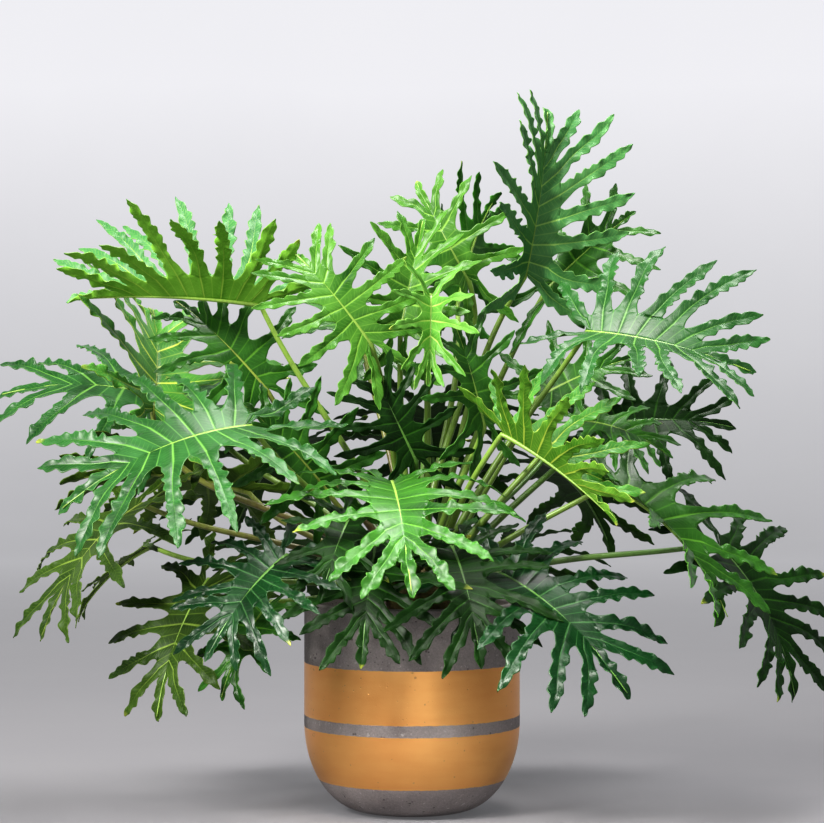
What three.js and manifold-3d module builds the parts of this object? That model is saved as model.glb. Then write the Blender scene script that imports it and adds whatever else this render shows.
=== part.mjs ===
// Potted split-leaf philodendron in a round-bottomed concrete pot.
// Millimetres, +Z up, origin at the centre of the pot's flat foot. The viewer stands on the -Y side.
import * as THREE from 'three';
import Module from 'manifold-3d';
import { mergeVertices } from 'three/addons/utils/BufferGeometryUtils.js';

const wasm = await Module();
wasm.setup();

const V3 = (x, y, z) => new THREE.Vector3(x, y, z);
const degrees = Math.PI / 180;

// Driving dimensions
const gap = 0.3; // left between pieces that touch
const turnSides = 36; // sides of the pot and the soil
const pot = {
  radius: 140,
  height: 270,
  footRadius: 60,
  shoulder: 115, // height at which the round bottom meets the straight wall
  wall: 14,
  floor: 22,
  lip: 3, // chamfer at the rim
};
const bowlRings = [0, 0.3, 0.55, 0.78, 1]; // of the round bottom, as shares of a quarter turn
const cavity = { floorShare: 0.5, bendShare: 0.65, bendHeight: 22 }; // the inside's corner
const soil = { edge: 236, mound: 5 };
const crown = {
  x: 10,
  y: 0,
  z: 274,
  radius: 46,
  trunkRadius: 32,
  depth: 60, // of the stem below the round crown
  sides: 20,
};
const domeRings = [0, 0.35, 0.7]; // of the crown, as shares of a quarter turn
const stalk = {
  rootRadius: 5.2,
  tipRadius: 3.4,
  steps: 5,
  spacing: 13.6, // between neighbouring stalks at the crown
  start: 0.7, // share of the crown's radius at which a stalk begins
  square: 0.87, // half side of a stalk's square section that has a round one's area
  outward: 0.36, // how far a stalk follows its first direction, as a share of its length
  lift: 0.1, // how much higher it is drawn there
  approach: 0.3, // share of its length over which it turns into the midrib
  intoRib: 0.6, // how much it turns to the midrib's own direction
  fromUnder: 0.8, // how much it comes up from under the blade
  sharpest: 0.2, // cosine of the sharpest turn into a midrib that the rings can follow
  sag: 0.08, // how far below the blade it is drawn, as a share of its length
};
const blade = {
  thickness: 1.2,
  ribThickness: 3.2, // along the midrib
  baseWidth: 6, // where the stalk meets it
  lastRoot: 0.64, // where the last pair of lobes leaves the midrib, as a share of the blade's length
  joined: 0.24, // share of a lobe that is joined to its neighbours
  earAside: 0.055, // how far beside the stalk the first lobes begin, as a share of the blade's length
  earBack: 0.7,
  strap: 0.042, // half width of a lobe, as a share of the blade's length
  crowded: 7.5, // pairs of lobes beyond which they are narrower
  tooth: 0.14, // how far a margin swings in and out, as a share of the half width
  ripple: 0.02, // how far a margin waves up and down, as a share of the blade's length
};
const lobeShape = {
  firstAngle: 148, // between the first pair of lobes and the midrib, in degrees
  angleDrop: 108, // how much smaller that angle is for the last pair
  anglePower: 0.8,
  angleSpread: 14,
  firstLength: 0.45, // as a share of the blade's length
  lengthRise: 0.8,
  lengthFall: 0.83,
  lengthSpread: 0.24,
  tiltSpread: 20, // degrees up or down
  rootPower: 1.15, // how the roots are spaced along the midrib
  firstSweep: -0.06,
  sweep: 0.08, // bend towards the blade's tip
  firstJoined: 0.2,
  lastJoined: 0.12,
  lastStep: 0.05, // from the last pair's root to the terminal lobe's
  narrow: 0.74, // width at the sinus
  widen: 0.6,
  pointPower: 2.6,
  pointRound: 0.9,
};
const toothStep = 0.6; // from one tooth to the next along a margin, as a share of the lobe
const opening = 0.2; // share of a lobe over which the cut beside it opens to its full width
const fullRows = [0.2, 0.5, 0.8]; // where the margins of a leaf in front are drawn, from sinus to tip
const fewRows = [0.3, 0.8]; // the same for a leaf behind
// A lobe that would meet another leaf bends clear of it: the first of these that is free is taken.
const bendTries = [0, 14, -14, 28, -28, 42, -42, 56, -56]; // degrees
const reachTries = [1, 0.8, 0.62, 0.45]; // shares of its length
const shortest = 0.2; // for a lobe with no free place
// A stalk swings sideways in the same way, by these percentages of its length.
const swingTries = [0, 6, -6, 12, -12, 18, -18, 24, -24, 36, -36, 50, -50];
const settleRounds = 60;

// One row for each leaf: name, base and tip of the midrib, direction that its upper face looks in,
// fold of the two halves (degrees, up is plus), curl of the lobes, arch of the midrib, pairs of lobes,
// share of the usual angle between its lobes and its midrib. A last word asks for more rows.
const leaves = [
  ['upper_left', [-195, -20, 655], [-445, -40, 660], [0, -0.1, 1], 52, -10, 0.03, 9, 0.92],
  ['left_back', [-335, -15, 515], [-358, 200, 662], [0.5, -0.6, 0.6], 30, -15, 0.05, 6, 0.95],
  ['left_front', [-200, -150, 500], [-430, -230, 395], [0, -0.6, 0.8], 10, -40, 0.1, 7, 1, 'full'],
  ['far_left', [-290, 104, 520], [-552, 70, 538], [0, -0.5, 0.9], 5, -40, 0.1, 6, 1],
  ['left_low', [-215, 60, 410], [-465, 40, 425], [0, 0.6, 0.8], 10, -30, 0.08, 6, 1],
  ['far_left_low', [-345, -60, 400], [-465, -130, 230], [-0.5, -0.4, 0.8], 10, -40, 0.1, 6, 1],
  ['lower_left', [-262, -40, 302], [-320, -130, 130], [-0.5, -0.7, 0.5], 10, -30, 0.08, 6, 1],
  ['lower_left_back', [-345, 60, 340], [-445, 60, 240], [-0.5, 0, 0.8], 10, -30, 0.08, 5, 1],
  ['lower_left_front', [-155, -160, 340], [-250, -240, 215], [-0.2, -0.75, 0.6], 10, -40, 0.1, 7, 1, 'full'],
  ['left_hanging', [-180, -60, 275], [-240, -120, 155], [-0.5, -0.7, 0.4], 10, -20, 0.08, 5, 1],
  ['centre_front', [-25, -130, 430], [0, -320, 300], [0, -0.5, 0.85], 14, -45, 0.1, 7, 1, 'full'],
  ['lower_right_front', [110, -120, 315], [265, -230, 170], [0.1, -0.6, 0.75], 12, -40, 0.1, 7, 1, 'full'],
  ['far_right', [390, -45, 348], [485, -95, 150], [0.6, -0.6, 0.5], 14, -30, 0.1, 7, 1],
  ['right', [252, -60, 425], [395, -150, 255], [0.58, -0.45, 0.74], 26, -30, 0.1, 6, 1],
  ['upper_right', [225, -40, 620], [430, -125, 565], [0, -0.75, 0.65], 30, -35, 0.06, 7, 0.82, 'full'],
  ['top', [150, 60, 695], [180, 60, 920], [0.55, -0.8, 0.2], 38, -20, 0.04, 7, 0.78],
  ['top_back', [60, 120, 660], [120, 200, 820], [-0.3, 0.6, 0.6], 10, -30, 0.08, 5, 1],
  ['centre_top', [-52, -95, 602], [-160, -66, 728], [-0.2, -0.7, 0.7], 15, -40, 0.1, 7, 1],
  ['centre_young', [-15, -25, 620], [15, 20, 770], [0, -0.8, 0.5], 30, 10, 0.04, 6, 1],
  ['youngest', [24, -90, 664], [20, -132, 548], [0.1, -0.9, 0.25], 44, 10, 0.05, 5, 0.8],
  ['right_curled', [112, -150, 490], [250, -228, 380], [0.28, -0.13, 0.95], 54, 5, 0.04, 7, 0.92],
  ['right_middle', [165, 35, 535], [300, 45, 590], [0, -0.85, 0.5], 10, -25, 0.08, 5, 1],
  ['right_back', [255, 70, 500], [430, 60, 495], [0.1, -0.85, 0.5], 10, -40, 0.1, 6, 1],
  ['right_inner', [205, -66, 506], [330, -92, 458], [0.2, -0.6, 0.8], 10, -40, 0.1, 6, 1],
  ['top_right_back', [180, 100, 680], [300, 100, 785], [0.3, -0.5, 0.6], 15, -30, 0.08, 5, 1],
  ['left_inner', [-190, 30, 545], [-315, 55, 665], [-0.2, -0.7, 0.7], 14, -35, 0.1, 6, 1],
  ['centre_left', [-108, -40, 414], [-218, -78, 528], [-0.2, -0.6, 0.7], 10, -40, 0.1, 6, 1],
  ['over_rim', [-46, -108, 348], [-62, -224, 205], [0, -0.75, 0.6], 10, -20, 0.12, 7, 0.95],
  ['centre_low', [-75, -120, 390], [-112, -205, 285], [0, -0.6, 0.6], 15, -20, 0.1, 5, 1],
  ['back_left', [-150, 190, 480], [-260, 340, 330], [-0.3, 0.5, 0.8], 10, -40, 0.1, 5, 1],
  ['back', [20, 190, 520], [40, 370, 350], [0, 0.6, 0.7], 10, -40, 0.1, 5, 1],
  ['back_right', [180, 200, 450], [290, 350, 310], [0.3, 0.5, 0.8], 10, -40, 0.1, 5, 1],
  ['back_low_left', [-100, 200, 340], [-180, 380, 220], [0, 0.5, 0.8], 10, -40, 0.1, 5, 1],
  ['back_low_right', [120, 200, 330], [190, 370, 210], [0, 0.5, 0.8], 10, -40, 0.1, 5, 1],
  ['top_inner', [75, 60, 690], [5, 95, 825], [-0.4, -0.8, 0.5], 16, -20, 0.06, 5, 1],
  ['centre_dark', [5, -70, 455], [-52, -86, 574], [-0.2, -0.85, 0.4], 15, -30, 0.1, 6, 0.95],
  ['back_high', [-70, 150, 610], [-150, 290, 690], [-0.2, 0.3, 1], 10, -40, 0.1, 4, 1],
  ['right_raised', [92, -80, 498], [52, -95, 632], [0.1, -0.8, 0.4], 20, -20, 0.08, 5, 1],
  ['over_rim_right', [50, -112, 348], [84, -228, 205], [0.1, -0.75, 0.6], 10, -20, 0.12, 7, 0.95],
].map(([name, base, tip, face, fold, curl, arch, pairs, forward, detail], index) => ({
  name, index, base: V3(...base), tip: V3(...tip), face: V3(...face), pairs, arch, forward,
  fold: fold * degrees, curl: curl * degrees, rows: detail === 'full' ? fullRows : fewRows,
}));

// A repeatable number from 0 to 1 for each leaf, side, lobe and use
function chance(a, b) {
  const wave = Math.sin(a * 12.9898 + b * 78.233) * 43758.5453;
  return wave - Math.floor(wave);
}

// Solids

function manifoldOf(points, faces) {
  const vertProperties = new Float32Array(points.flatMap((p) => [p.x, p.y, p.z]));
  const triVerts = new Uint32Array(faces.flat());
  return new wasm.Manifold(new wasm.Mesh({ numProp: 3, vertProperties, triVerts }));
}

function manifoldFrom(geometry) {
  const bare = geometry.clone();
  bare.deleteAttribute('normal');
  bare.deleteAttribute('uv');
  const merged = mergeVertices(bare, 1e-3);
  const triVerts = new Uint32Array(merged.index.array);
  const vertProperties = new Float32Array(merged.attributes.position.array);
  return new wasm.Manifold(new wasm.Mesh({ numProp: 3, vertProperties, triVerts }));
}

function geometryOf(solid) {
  const mesh = solid.getMesh();
  const geometry = new THREE.BufferGeometry();
  geometry.setAttribute('position', new THREE.BufferAttribute(new Float32Array(mesh.vertProperties), 3));
  geometry.setIndex([...mesh.triVerts]);
  geometry.computeVertexNormals();
  return geometry;
}

function turned(profile, sides) {
  const geometry = new THREE.LatheGeometry(profile.map(([r, z]) => new THREE.Vector2(r, z)), sides);
  return geometry.rotateX(Math.PI / 2);
}

// The blade, first flat (x along the midrib, y across it, both as shares of its length), then bent

function lobeOf(leaf, side, i) {
  const along = i / (leaf.pairs - 1);
  const pick = leaf.index * 31 + i * 2 + (side > 0 ? 1 : 0);
  const shape = lobeShape;
  const spread = (use) => chance(pick, use) - 0.5;
  const drop = shape.angleDrop * along ** shape.anglePower;
  const angle = shape.firstAngle - drop + spread(1) * shape.angleSpread;
  const length = shape.firstLength + shape.lengthRise * along - shape.lengthFall * along ** 2;
  return {
    side,
    i,
    angle: angle * leaf.forward * degrees,
    length: length * (1 + spread(2) * shape.lengthSpread),
    tilt: spread(3) * shape.tiltSpread * degrees,
    root: blade.lastRoot * along ** shape.rootPower,
    sweep: i === 0 ? shape.firstSweep : shape.sweep,
    joined: i === 0 ? shape.firstJoined : blade.joined,
    uneven: chance(pick, 4) < 0.5 ? 0 : 1,
    strap: blade.strap * Math.min(1, blade.crowded / leaf.pairs),
  };
}

function terminalOf(leaf) {
  const root = blade.lastRoot + lobeShape.lastStep;
  const straight = { angle: 0, tilt: 0, sweep: 0, uneven: 0, strap: blade.strap };
  return { ...straight, side: 1, i: leaf.pairs, length: 1 - root, root, joined: lobeShape.lastJoined };
}

function centreOf(lobe, t) {
  return [
    lobe.root + lobe.length * (t * Math.cos(lobe.angle) + lobe.sweep * t * t),
    lobe.side * lobe.length * t * Math.sin(lobe.angle),
  ];
}

function acrossOf(lobe, t) {
  const dx = Math.cos(lobe.angle) + 2 * lobe.sweep * t;
  const dy = Math.sin(lobe.angle);
  const size = Math.hypot(dx, dy);
  return [dy / size, (-lobe.side * dx) / size]; // towards the blade's tip
}

// A margin's distance from the lobe's middle, for a place from 0 at the sinus to 1 at the tip
function halfWidth(lobe, place, edge) {
  const shift = edge < 0 ? Math.PI * lobe.uneven : 0;
  const swing = Math.cos((2 * Math.PI * (place - opening)) / toothStep + shift);
  const point = (1 - place ** lobeShape.pointPower) ** lobeShape.pointRound;
  const taper = (lobeShape.narrow + lobeShape.widen * place) * point;
  return lobe.strap * taper * (1 + blade.tooth * swing);
}

function frameOf(leaf) {
  const length = leaf.base.distanceTo(leaf.tip);
  const face = leaf.face.clone().normalize();
  const middle = leaf.base.clone().add(leaf.tip).multiplyScalar(0.5);
  middle.addScaledVector(face, 2 * leaf.arch * length);
  return { length, face, rib: new THREE.QuadraticBezierCurve3(leaf.base, middle, leaf.tip) };
}

// Where a flat point of the blade comes to lie, with lift as its height over the flat blade
function bent(leaf, frame, x, y, lift) {
  const u = Math.min(Math.max(x, 0), 1);
  const { v0, v1, v2 } = frame.rib;
  const slope = v1.clone().sub(v0).multiplyScalar(2 * (1 - u));
  slope.addScaledVector(v2.clone().sub(v1), 2 * u);
  const tangent = slope.clone().normalize();
  const up = frame.face.clone().addScaledVector(tangent, -frame.face.dot(tangent)).normalize();
  const left = up.clone().cross(tangent);
  const place = frame.rib.getPoint(u).addScaledVector(slope, x - u);
  const reach = Math.abs(y) * frame.length;
  const rise = leaf.fold + 0.5 * leaf.curl * Math.abs(y);
  const steep = leaf.fold + leaf.curl * Math.abs(y);
  const hand = Math.sign(y);
  place.addScaledVector(left, hand * (reach * Math.cos(rise) - lift * Math.sin(steep)));
  return place.addScaledVector(up, reach * Math.sin(rise) + lift * Math.cos(steep));
}

// A point of a lobe: place runs from 0 at its sinus to 1 at its tip, and edge is +1 at the margin
// towards the blade's tip, -1 at the other and 0 in the middle
function lobePoint(leaf, frame, lobe, sinus, place, edge) {
  const start = centreOf(lobe, lobe.joined);
  const t = lobe.joined + (1 - lobe.joined) * place * lobe.reach;
  const centre = centreOf(lobe, t);
  const across = acrossOf(lobe, t);
  const half = edge * halfWidth(lobe, place, edge);
  const turn = (lobe.tilt + lobe.bend) * (0.4 + 0.6 * place);
  const wave = Math.cos((2 * Math.PI * (place - opening)) / toothStep);
  const away = [centre[0] - start[0], centre[1] - start[1]];
  const flat = [0, 1].map((k) => start[k] + away[k] * Math.cos(turn) + across[k] * half);
  const lift = Math.hypot(...away) * Math.sin(turn) + edge * blade.ripple * wave * (1 - place);
  const open = Math.min(place / opening, 1);
  const [x, y] = [0, 1].map((k) => sinus[k] + (flat[k] - sinus[k]) * open);
  return bent(leaf, frame, x, y, lift * open * frame.length);
}

// The blade's middle surface as points, with a thickness over and under each, and triangles. Each
// triangle belongs to the web along the midrib (-1) or to one of the lobes.
function surfaceOf(leaf, lobes) {
  const frame = frameOf(leaf);
  const surface = { points: [], over: [], under: [], faces: [], owner: [] };
  const add = (point, thickness = blade.thickness) => {
    surface.points.push(point);
    surface.over.push(blade.thickness / 2);
    surface.under.push(thickness - blade.thickness / 2);
    return surface.points.length - 1;
  };
  const cover = (side, owner, ...corners) => {
    for (let k = 2; k < corners.length; k += 1) {
      const face = [corners[0], corners[k - 1], corners[k]];
      surface.faces.push(side > 0 ? face : face.reverse());
      surface.owner.push(owner);
    }
  };
  const terminal = lobes[lobes.length - 1];
  const rowOf = (side) => [...lobes.filter((lobe) => lobe.side === side && lobe !== terminal), terminal];
  const onRib = (x, y = 0) => add(bent(leaf, frame, x, y, 0), blade.ribThickness);
  const roots = rowOf(1).map((lobe) => lobe.root);
  const rib = roots.slice(1).map((root, i) => onRib((roots[i] + root) / 2));
  const halfBase = blade.baseWidth / 2 / frame.length;
  surface.base = [onRib(0, halfBase), onRib(0, -halfBase)];
  cover(1, -1, ...surface.base, rib[0]);
  const strip = (lobe, back, front, backFlat, frontFlat) => {
    const owner = lobes.indexOf(lobe);
    let [b, f] = [back, front];
    leaf.rows.forEach((place) => {
      const nextBack = add(lobePoint(leaf, frame, lobe, backFlat, place, -1));
      const nextFront = add(lobePoint(leaf, frame, lobe, frontFlat, place, 1));
      cover(lobe.side, owner, b, f, nextFront, nextBack);
      [b, f] = [nextBack, nextFront];
    });
    cover(lobe.side, owner, b, f, add(lobePoint(leaf, frame, lobe, frontFlat, 1, 0)));
  };
  const [left, right] = [1, -1].map((side) => {
    const row = rowOf(side);
    let backFlat = outerEdge(row[0]);
    let back = add(bent(leaf, frame, ...backFlat, 0));
    row.slice(0, -1).forEach((lobe, i) => {
      const frontFlat = sinusOf(lobe, row[i + 1]);
      const front = add(bent(leaf, frame, ...frontFlat, 0));
      cover(side, -1, i ? rib[i - 1] : surface.base[side > 0 ? 0 : 1], rib[i], front, back);
      strip(lobe, back, front, backFlat, frontFlat);
      [back, backFlat] = [front, frontFlat];
    });
    return { at: back, flat: backFlat };
  });
  cover(1, -1, rib[rib.length - 1], right.at, left.at);
  strip(terminal, left.at, right.at, left.flat, right.flat);
  return surface;
}

// Where the first lobe leaves the blade behind the stalk, far enough out to clear it
function outerEdge(lobe) {
  const centre = centreOf(lobe, lobe.joined);
  const across = acrossOf(lobe, lobe.joined);
  const [x, y] = [0, 1].map((k) => centre[k] - across[k] * halfWidth(lobe, 0, -1));
  return [x * blade.earBack, lobe.side * Math.max(Math.abs(y), blade.earAside)];
}

// The bottom of the cut between two neighbouring lobes
function sinusOf(lobe, next) {
  const [a, b] = [centreOf(lobe, lobe.joined), centreOf(next, next.joined)];
  const y = next.side === lobe.side ? (a[1] + b[1]) / 2 : a[1] / 2;
  return [(a[0] + b[0]) / 2, y];
}

// A closed solid from the triangles of a surface that belong to the wanted owners. A stalk's rings,
// where they are given, join on at the base.
function thicken(surface, wanted, skin, rings = []) {
  const faces = surface.faces.filter((_, k) => wanted(surface.owner[k]));
  const normals = surface.points.map(() => V3(0, 0, 0));
  surface.faces.forEach((face) => {
    const [p, q, r] = face.map((k) => surface.points[k]);
    const normal = q.clone().sub(p).cross(r.clone().sub(p));
    face.forEach((k) => normals[k].add(normal));
  });
  normals.forEach((normal) => normal.normalize());
  const used = [...new Set(faces.flat())];
  const order = new Map(used.map((k, n) => [k, n]));
  const layer = (height) => used.map((k) => surface.points[k].clone().addScaledVector(normals[k], height(k)));
  const points = [...layer((k) => surface.over[k] + skin), ...layer((k) => -surface.under[k] - skin)];
  const below = used.length;
  const edges = new Set(faces.flatMap(([a, b, c]) => [`${a} ${b}`, `${b} ${c}`, `${c} ${a}`]));
  const closed = [];
  faces.forEach((face) => {
    const [a, b, c] = face.map((k) => order.get(k));
    closed.push([a, b, c], [c + below, b + below, a + below]);
    face.forEach((from, k) => {
      const to = face[(k + 1) % 3];
      const atStalk = rings.length > 0 && from === surface.base[0] && to === surface.base[1];
      if (atStalk || edges.has(`${to} ${from}`)) return;
      const [p, q] = [order.get(from), order.get(to)];
      closed.push([q, p, p + below], [q, p + below, q + below]);
    });
  });
  if (rings.length > 0) {
    const [left, right] = surface.base.map((k) => order.get(k));
    const corners = rings.slice(0, -1).map((ring) => ring.map((point) => points.push(point) - 1));
    closed.push(...tube([...corners, [left, right, right + below, left + below]]));
  }
  return manifoldOf(points, closed);
}

// Leaf stalks

// Directions from the crown's centre to each leaf's base, pushed apart until each stalk has room
function rootDirections() {
  const centre = V3(crown.x, crown.y, crown.z);
  const directions = leaves.map((leaf) => leaf.base.clone().sub(centre).normalize());
  const least = stalk.spacing / crown.radius;
  for (let round = 0; round < settleRounds; round += 1) {
    directions.forEach((one, i) => directions.slice(i + 1).forEach((other) => {
      const apart = other.clone().sub(one);
      const short = least - apart.length();
      if (short <= 0) return;
      apart.setLength(short / 2);
      one.sub(apart).normalize();
      other.add(apart).normalize();
    }));
  }
  return directions;
}

// Rings of four corners along a stalk, from the crown to the blade's base: upper left, upper right,
// lower right and lower left, as its upper face has them
function stalkRings(leaf, direction, swing, skin) {
  const frame = frameOf(leaf);
  const root = V3(crown.x, crown.y, crown.z).addScaledVector(direction, crown.radius * stalk.start);
  const line = leaf.base.clone().sub(root);
  const length = line.length();
  const aside = V3(0, 0, 1).cross(line).setLength((swing / 100) * length);
  const tangent = frame.rib.getTangent(0);
  const arrival = line.clone().normalize().addScaledVector(tangent, stalk.intoRib);
  arrival.addScaledVector(frame.face, stalk.fromUnder).normalize();
  const first = root.clone().addScaledVector(direction, stalk.outward * length).add(aside);
  first.z += stalk.lift * length;
  const last = leaf.base.clone().addScaledVector(arrival, -stalk.approach * length).add(aside);
  last.addScaledVector(frame.face, -stalk.sag * length);
  const path = new THREE.CubicBezierCurve3(root, first, last, leaf.base);
  let up = frame.face.clone();
  const rings = [];
  for (let k = stalk.steps; k >= 0; k -= 1) {
    const share = k / stalk.steps;
    const along = path.getTangent(share);
    up = up.clone().addScaledVector(along, -up.dot(along)).normalize();
    const left = up.clone().cross(along);
    const radius = stalk.rootRadius + (stalk.tipRadius - stalk.rootRadius) * share;
    const half = stalk.square * radius + skin;
    const centre = path.getPoint(share);
    const corner = (a, b) => centre.clone().addScaledVector(left, a * half).addScaledVector(up, b * half);
    rings.unshift([corner(1, 1), corner(-1, 1), corner(-1, -1), corner(1, -1)]);
  }
  return rings;
}

// Whether a stalk meets its midrib at so sharp an angle that its rings can't run on into the blade
function turnsSharply(leaf, rings) {
  const middle = (ring) => ring[0].clone().add(ring[2]).multiplyScalar(0.5);
  const [before, end] = rings.slice(-2).map(middle);
  const arrival = end.sub(before).normalize();
  return arrival.dot(frameOf(leaf).rib.getTangent(0)) < stalk.sharpest;
}

// Triangles round a tube from rings of corner numbers, with its first end closed
function tube(rings) {
  const faces = [];
  rings.slice(1).forEach((ring, n) => ring.forEach((_, k) => {
    const next = (k + 1) % ring.length;
    faces.push([rings[n][k], rings[n][next], ring[next]], [rings[n][k], ring[next], ring[k]]);
  }));
  const [a, b, c, d] = rings[0];
  return [...faces, [a, d, c], [a, c, b]];
}

function stalkSolid(rings) {
  const points = rings.flat();
  const corners = rings.map((ring, n) => ring.map((_, k) => n * ring.length + k));
  const [a, b, c, d] = corners[corners.length - 1];
  return manifoldOf(points, [...tube(corners), [a, b, c], [a, c, d]]);
}

// Growing the plant: every stalk and web first, then lobe after lobe, each bent clear of the rest

// A solid that is in place, with the number of its leaf, or -1
function inPlace(solid, index) {
  return { solid, index, box: solid.boundingBox() };
}

function meets(solid, others) {
  const box = solid.boundingBox();
  return others.some((other) => {
    const near = (k) => box.min[k] < other.box.max[k] && other.box.min[k] < box.max[k];
    if (![0, 1, 2].every(near)) return false;
    const shared = solid.intersect(other.solid);
    const apart = shared.isEmpty();
    shared.delete();
    return !apart;
  });
}

function lobesOf(leaf) {
  const pairs = [...Array(leaf.pairs).keys()];
  const both = [1, -1].flatMap((side) => pairs.map((i) => lobeOf(leaf, side, i)));
  return [...both, terminalOf(leaf)].map((lobe) => ({ ...lobe, bend: 0, reach: 1 }));
}

function growFronds(keepOut, crownCut) {
  const directions = rootDirections();
  const still = keepOut.map((solid) => inPlace(solid, -1));
  const stalks = [];
  const fronds = leaves.map((leaf) => ({ leaf, lobes: lobesOf(leaf) }));
  fronds.forEach((frond) => {
    const { leaf, lobes } = frond;
    const rings = (swing, skin) => stalkRings(leaf, directions[leaf.index], swing, skin);
    const alone = (swing, skin) => stalkSolid(rings(swing, skin)).subtract(crownCut);
    const free = swingTries.find((swing) => !meets(alone(swing, gap), [...still, ...stalks])) ?? 0;
    frond.rings = rings(free, 0);
    stalks.push(inPlace(alone(free, 0), leaf.index));
    still.push(inPlace(thicken(surfaceOf(leaf, lobes), (owner) => owner < 0, gap), leaf.index));
  });
  const lobesPlaced = [];
  fronds.forEach((frond) => {
    const { leaf, lobes } = frond;
    const others = [...still, ...lobesPlaced].filter((one) => one.index !== leaf.index).concat(stalks);
    lobes.forEach((lobe, owner) => {
      const alone = (skin) => thicken(surfaceOf(leaf, lobes), (wanted) => wanted === owner, skin);
      const bends = bendTries.map((bend) => bend * degrees);
      const tries = reachTries.flatMap((reach) => bends.map((bend) => ({ bend, reach })));
      const free = tries.find((one) => !meets(Object.assign(lobe, one) && alone(gap), others));
      if (!free) Object.assign(lobe, { bend: 0, reach: shortest });
      lobesPlaced.push(inPlace(alone(0), leaf.index));
    });
    const surface = surfaceOf(leaf, lobes);
    const whole = () => true;
    const body = turnsSharply(leaf, frond.rings)
      ? thicken(surface, whole, 0).add(stalkSolid(frond.rings))
      : thicken(surface, whole, 0, frond.rings);
    frond.solid = body.subtract(crownCut);
  });
  return fronds;
}

// The pot, the soil and the crown, each turned about its own axis

function potSolid() {
  const outer = pot.radius;
  const bowl = bowlRings.map((share) => {
    const turn = (share * Math.PI) / 2;
    const radius = pot.footRadius + (outer - pot.footRadius) * Math.sin(turn);
    return [radius, pot.shoulder * (1 - Math.cos(turn))];
  });
  const inner = outer - pot.wall;
  const underLip = pot.height - pot.lip;
  const rim = [
    [outer, underLip], [outer - pot.lip, pot.height], [inner + pot.lip, pot.height], [inner, underLip],
  ];
  return manifoldFrom(turned([[0, 0], ...bowl, ...rim, ...cavityProfile(0)], turnSides));
}

// The inside of the pot from its wall down to its floor, drawn in by a clearance
function cavityProfile(clearance) {
  const inner = pot.radius - pot.wall - clearance;
  const floor = pot.floor + clearance;
  const corner = inner * cavity.floorShare;
  const bend = corner + (inner - corner) * cavity.bendShare;
  return [[inner, pot.shoulder], [bend, floor + cavity.bendHeight], [corner, floor], [0, floor]];
}

function soilSolid() {
  const hole = crown.trunkRadius + gap;
  const edge = pot.radius - pot.wall - gap;
  const top = soil.edge + soil.mound;
  const floor = crown.z - crown.radius - crown.depth - gap;
  const body = manifoldFrom(turned([
    ...cavityProfile(gap).reverse(), [edge, soil.edge], [(edge + hole) / 2, top], [0, top],
  ], turnSides));
  const hollow = turned([[0, floor], [hole, floor], [hole, pot.height], [0, pot.height]], crown.sides);
  return body.subtract(manifoldFrom(hollow.translate(crown.x, crown.y, 0)));
}

// The stem up to the round crown that the stalks grow from
function crownSolid(skin) {
  const reach = crown.radius + skin;
  const neck = Math.acos(crown.trunkRadius / crown.radius);
  const turns = [-neck, -neck / 2, ...domeRings.map((share) => (share * Math.PI) / 2)];
  const dome = turns.map((turn) => [reach * Math.cos(turn), crown.z + reach * Math.sin(turn)]);
  const foot = crown.z - crown.radius - crown.depth;
  const profile = [[0, foot], [crown.trunkRadius, foot], ...dome, [0, crown.z + reach]];
  return manifoldFrom(turned(profile, crown.sides).translate(crown.x, crown.y, 0));
}

// The whole plant in its pot

function finish(color, roughness, metalness = 0) {
  return new THREE.MeshStandardMaterial({ color, roughness, metalness });
}

const concrete = finish(0x7d7673, 0.85);
const earth = finish(0x3a2c22, 0.95);
const bark = finish(0x5d6038, 0.7);
const leafGreen = finish(0x2f7a2c, 0.4);
const youngGreen = finish(0x7db62e, 0.4);
const youngLeaves = ['upper_left', 'left_back', 'centre_top', 'centre_young', 'youngest'];

const potBody = potSolid();
const soilBody = soilSolid();
const crownBody = crownSolid(0);
const fronds = growFronds([potBody, soilBody], crownSolid(gap));

const plant = new THREE.Group();
function place(name, solid, material) {
  const mesh = new THREE.Mesh(geometryOf(solid), material);
  mesh.name = name;
  plant.add(mesh);
}
place('pot', potBody, concrete);
place('potting_soil', soilBody, earth);
place('crown_stem', crownBody, bark);
fronds.forEach(({ leaf, solid }) => {
  place(`leaf_${leaf.name}`, solid, youngLeaves.includes(leaf.name) ? youngGreen : leafGreen);
});

export default plant;
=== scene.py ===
import math

import bpy
import numpy as np
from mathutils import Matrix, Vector, kdtree


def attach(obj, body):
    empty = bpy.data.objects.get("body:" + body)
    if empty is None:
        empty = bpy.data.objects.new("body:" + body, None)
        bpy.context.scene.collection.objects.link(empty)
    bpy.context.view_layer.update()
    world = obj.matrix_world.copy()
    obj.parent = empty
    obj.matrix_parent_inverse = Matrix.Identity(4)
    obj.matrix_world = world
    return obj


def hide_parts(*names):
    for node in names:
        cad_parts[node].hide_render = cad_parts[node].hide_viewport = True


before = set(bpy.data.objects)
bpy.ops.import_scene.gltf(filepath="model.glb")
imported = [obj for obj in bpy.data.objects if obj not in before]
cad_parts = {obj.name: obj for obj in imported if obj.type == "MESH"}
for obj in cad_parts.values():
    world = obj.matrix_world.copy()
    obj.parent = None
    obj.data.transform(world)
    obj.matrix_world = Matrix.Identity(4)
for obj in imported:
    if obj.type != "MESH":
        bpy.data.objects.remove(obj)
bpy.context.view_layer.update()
scene = bpy.context.scene
mm = 0.001  # every shape below is in millimetres, like the solids that it stands for
print("loaded", len(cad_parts), "nodes")

# Small helpers for nodes and meshes


def rgb(red, green, blue):
    def linear(value):
        share = value / 255
        return share / 12.92 if share <= 0.04045 else ((share + 0.055) / 1.055) ** 2.4

    return (linear(red), linear(green), linear(blue), 1)


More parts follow.
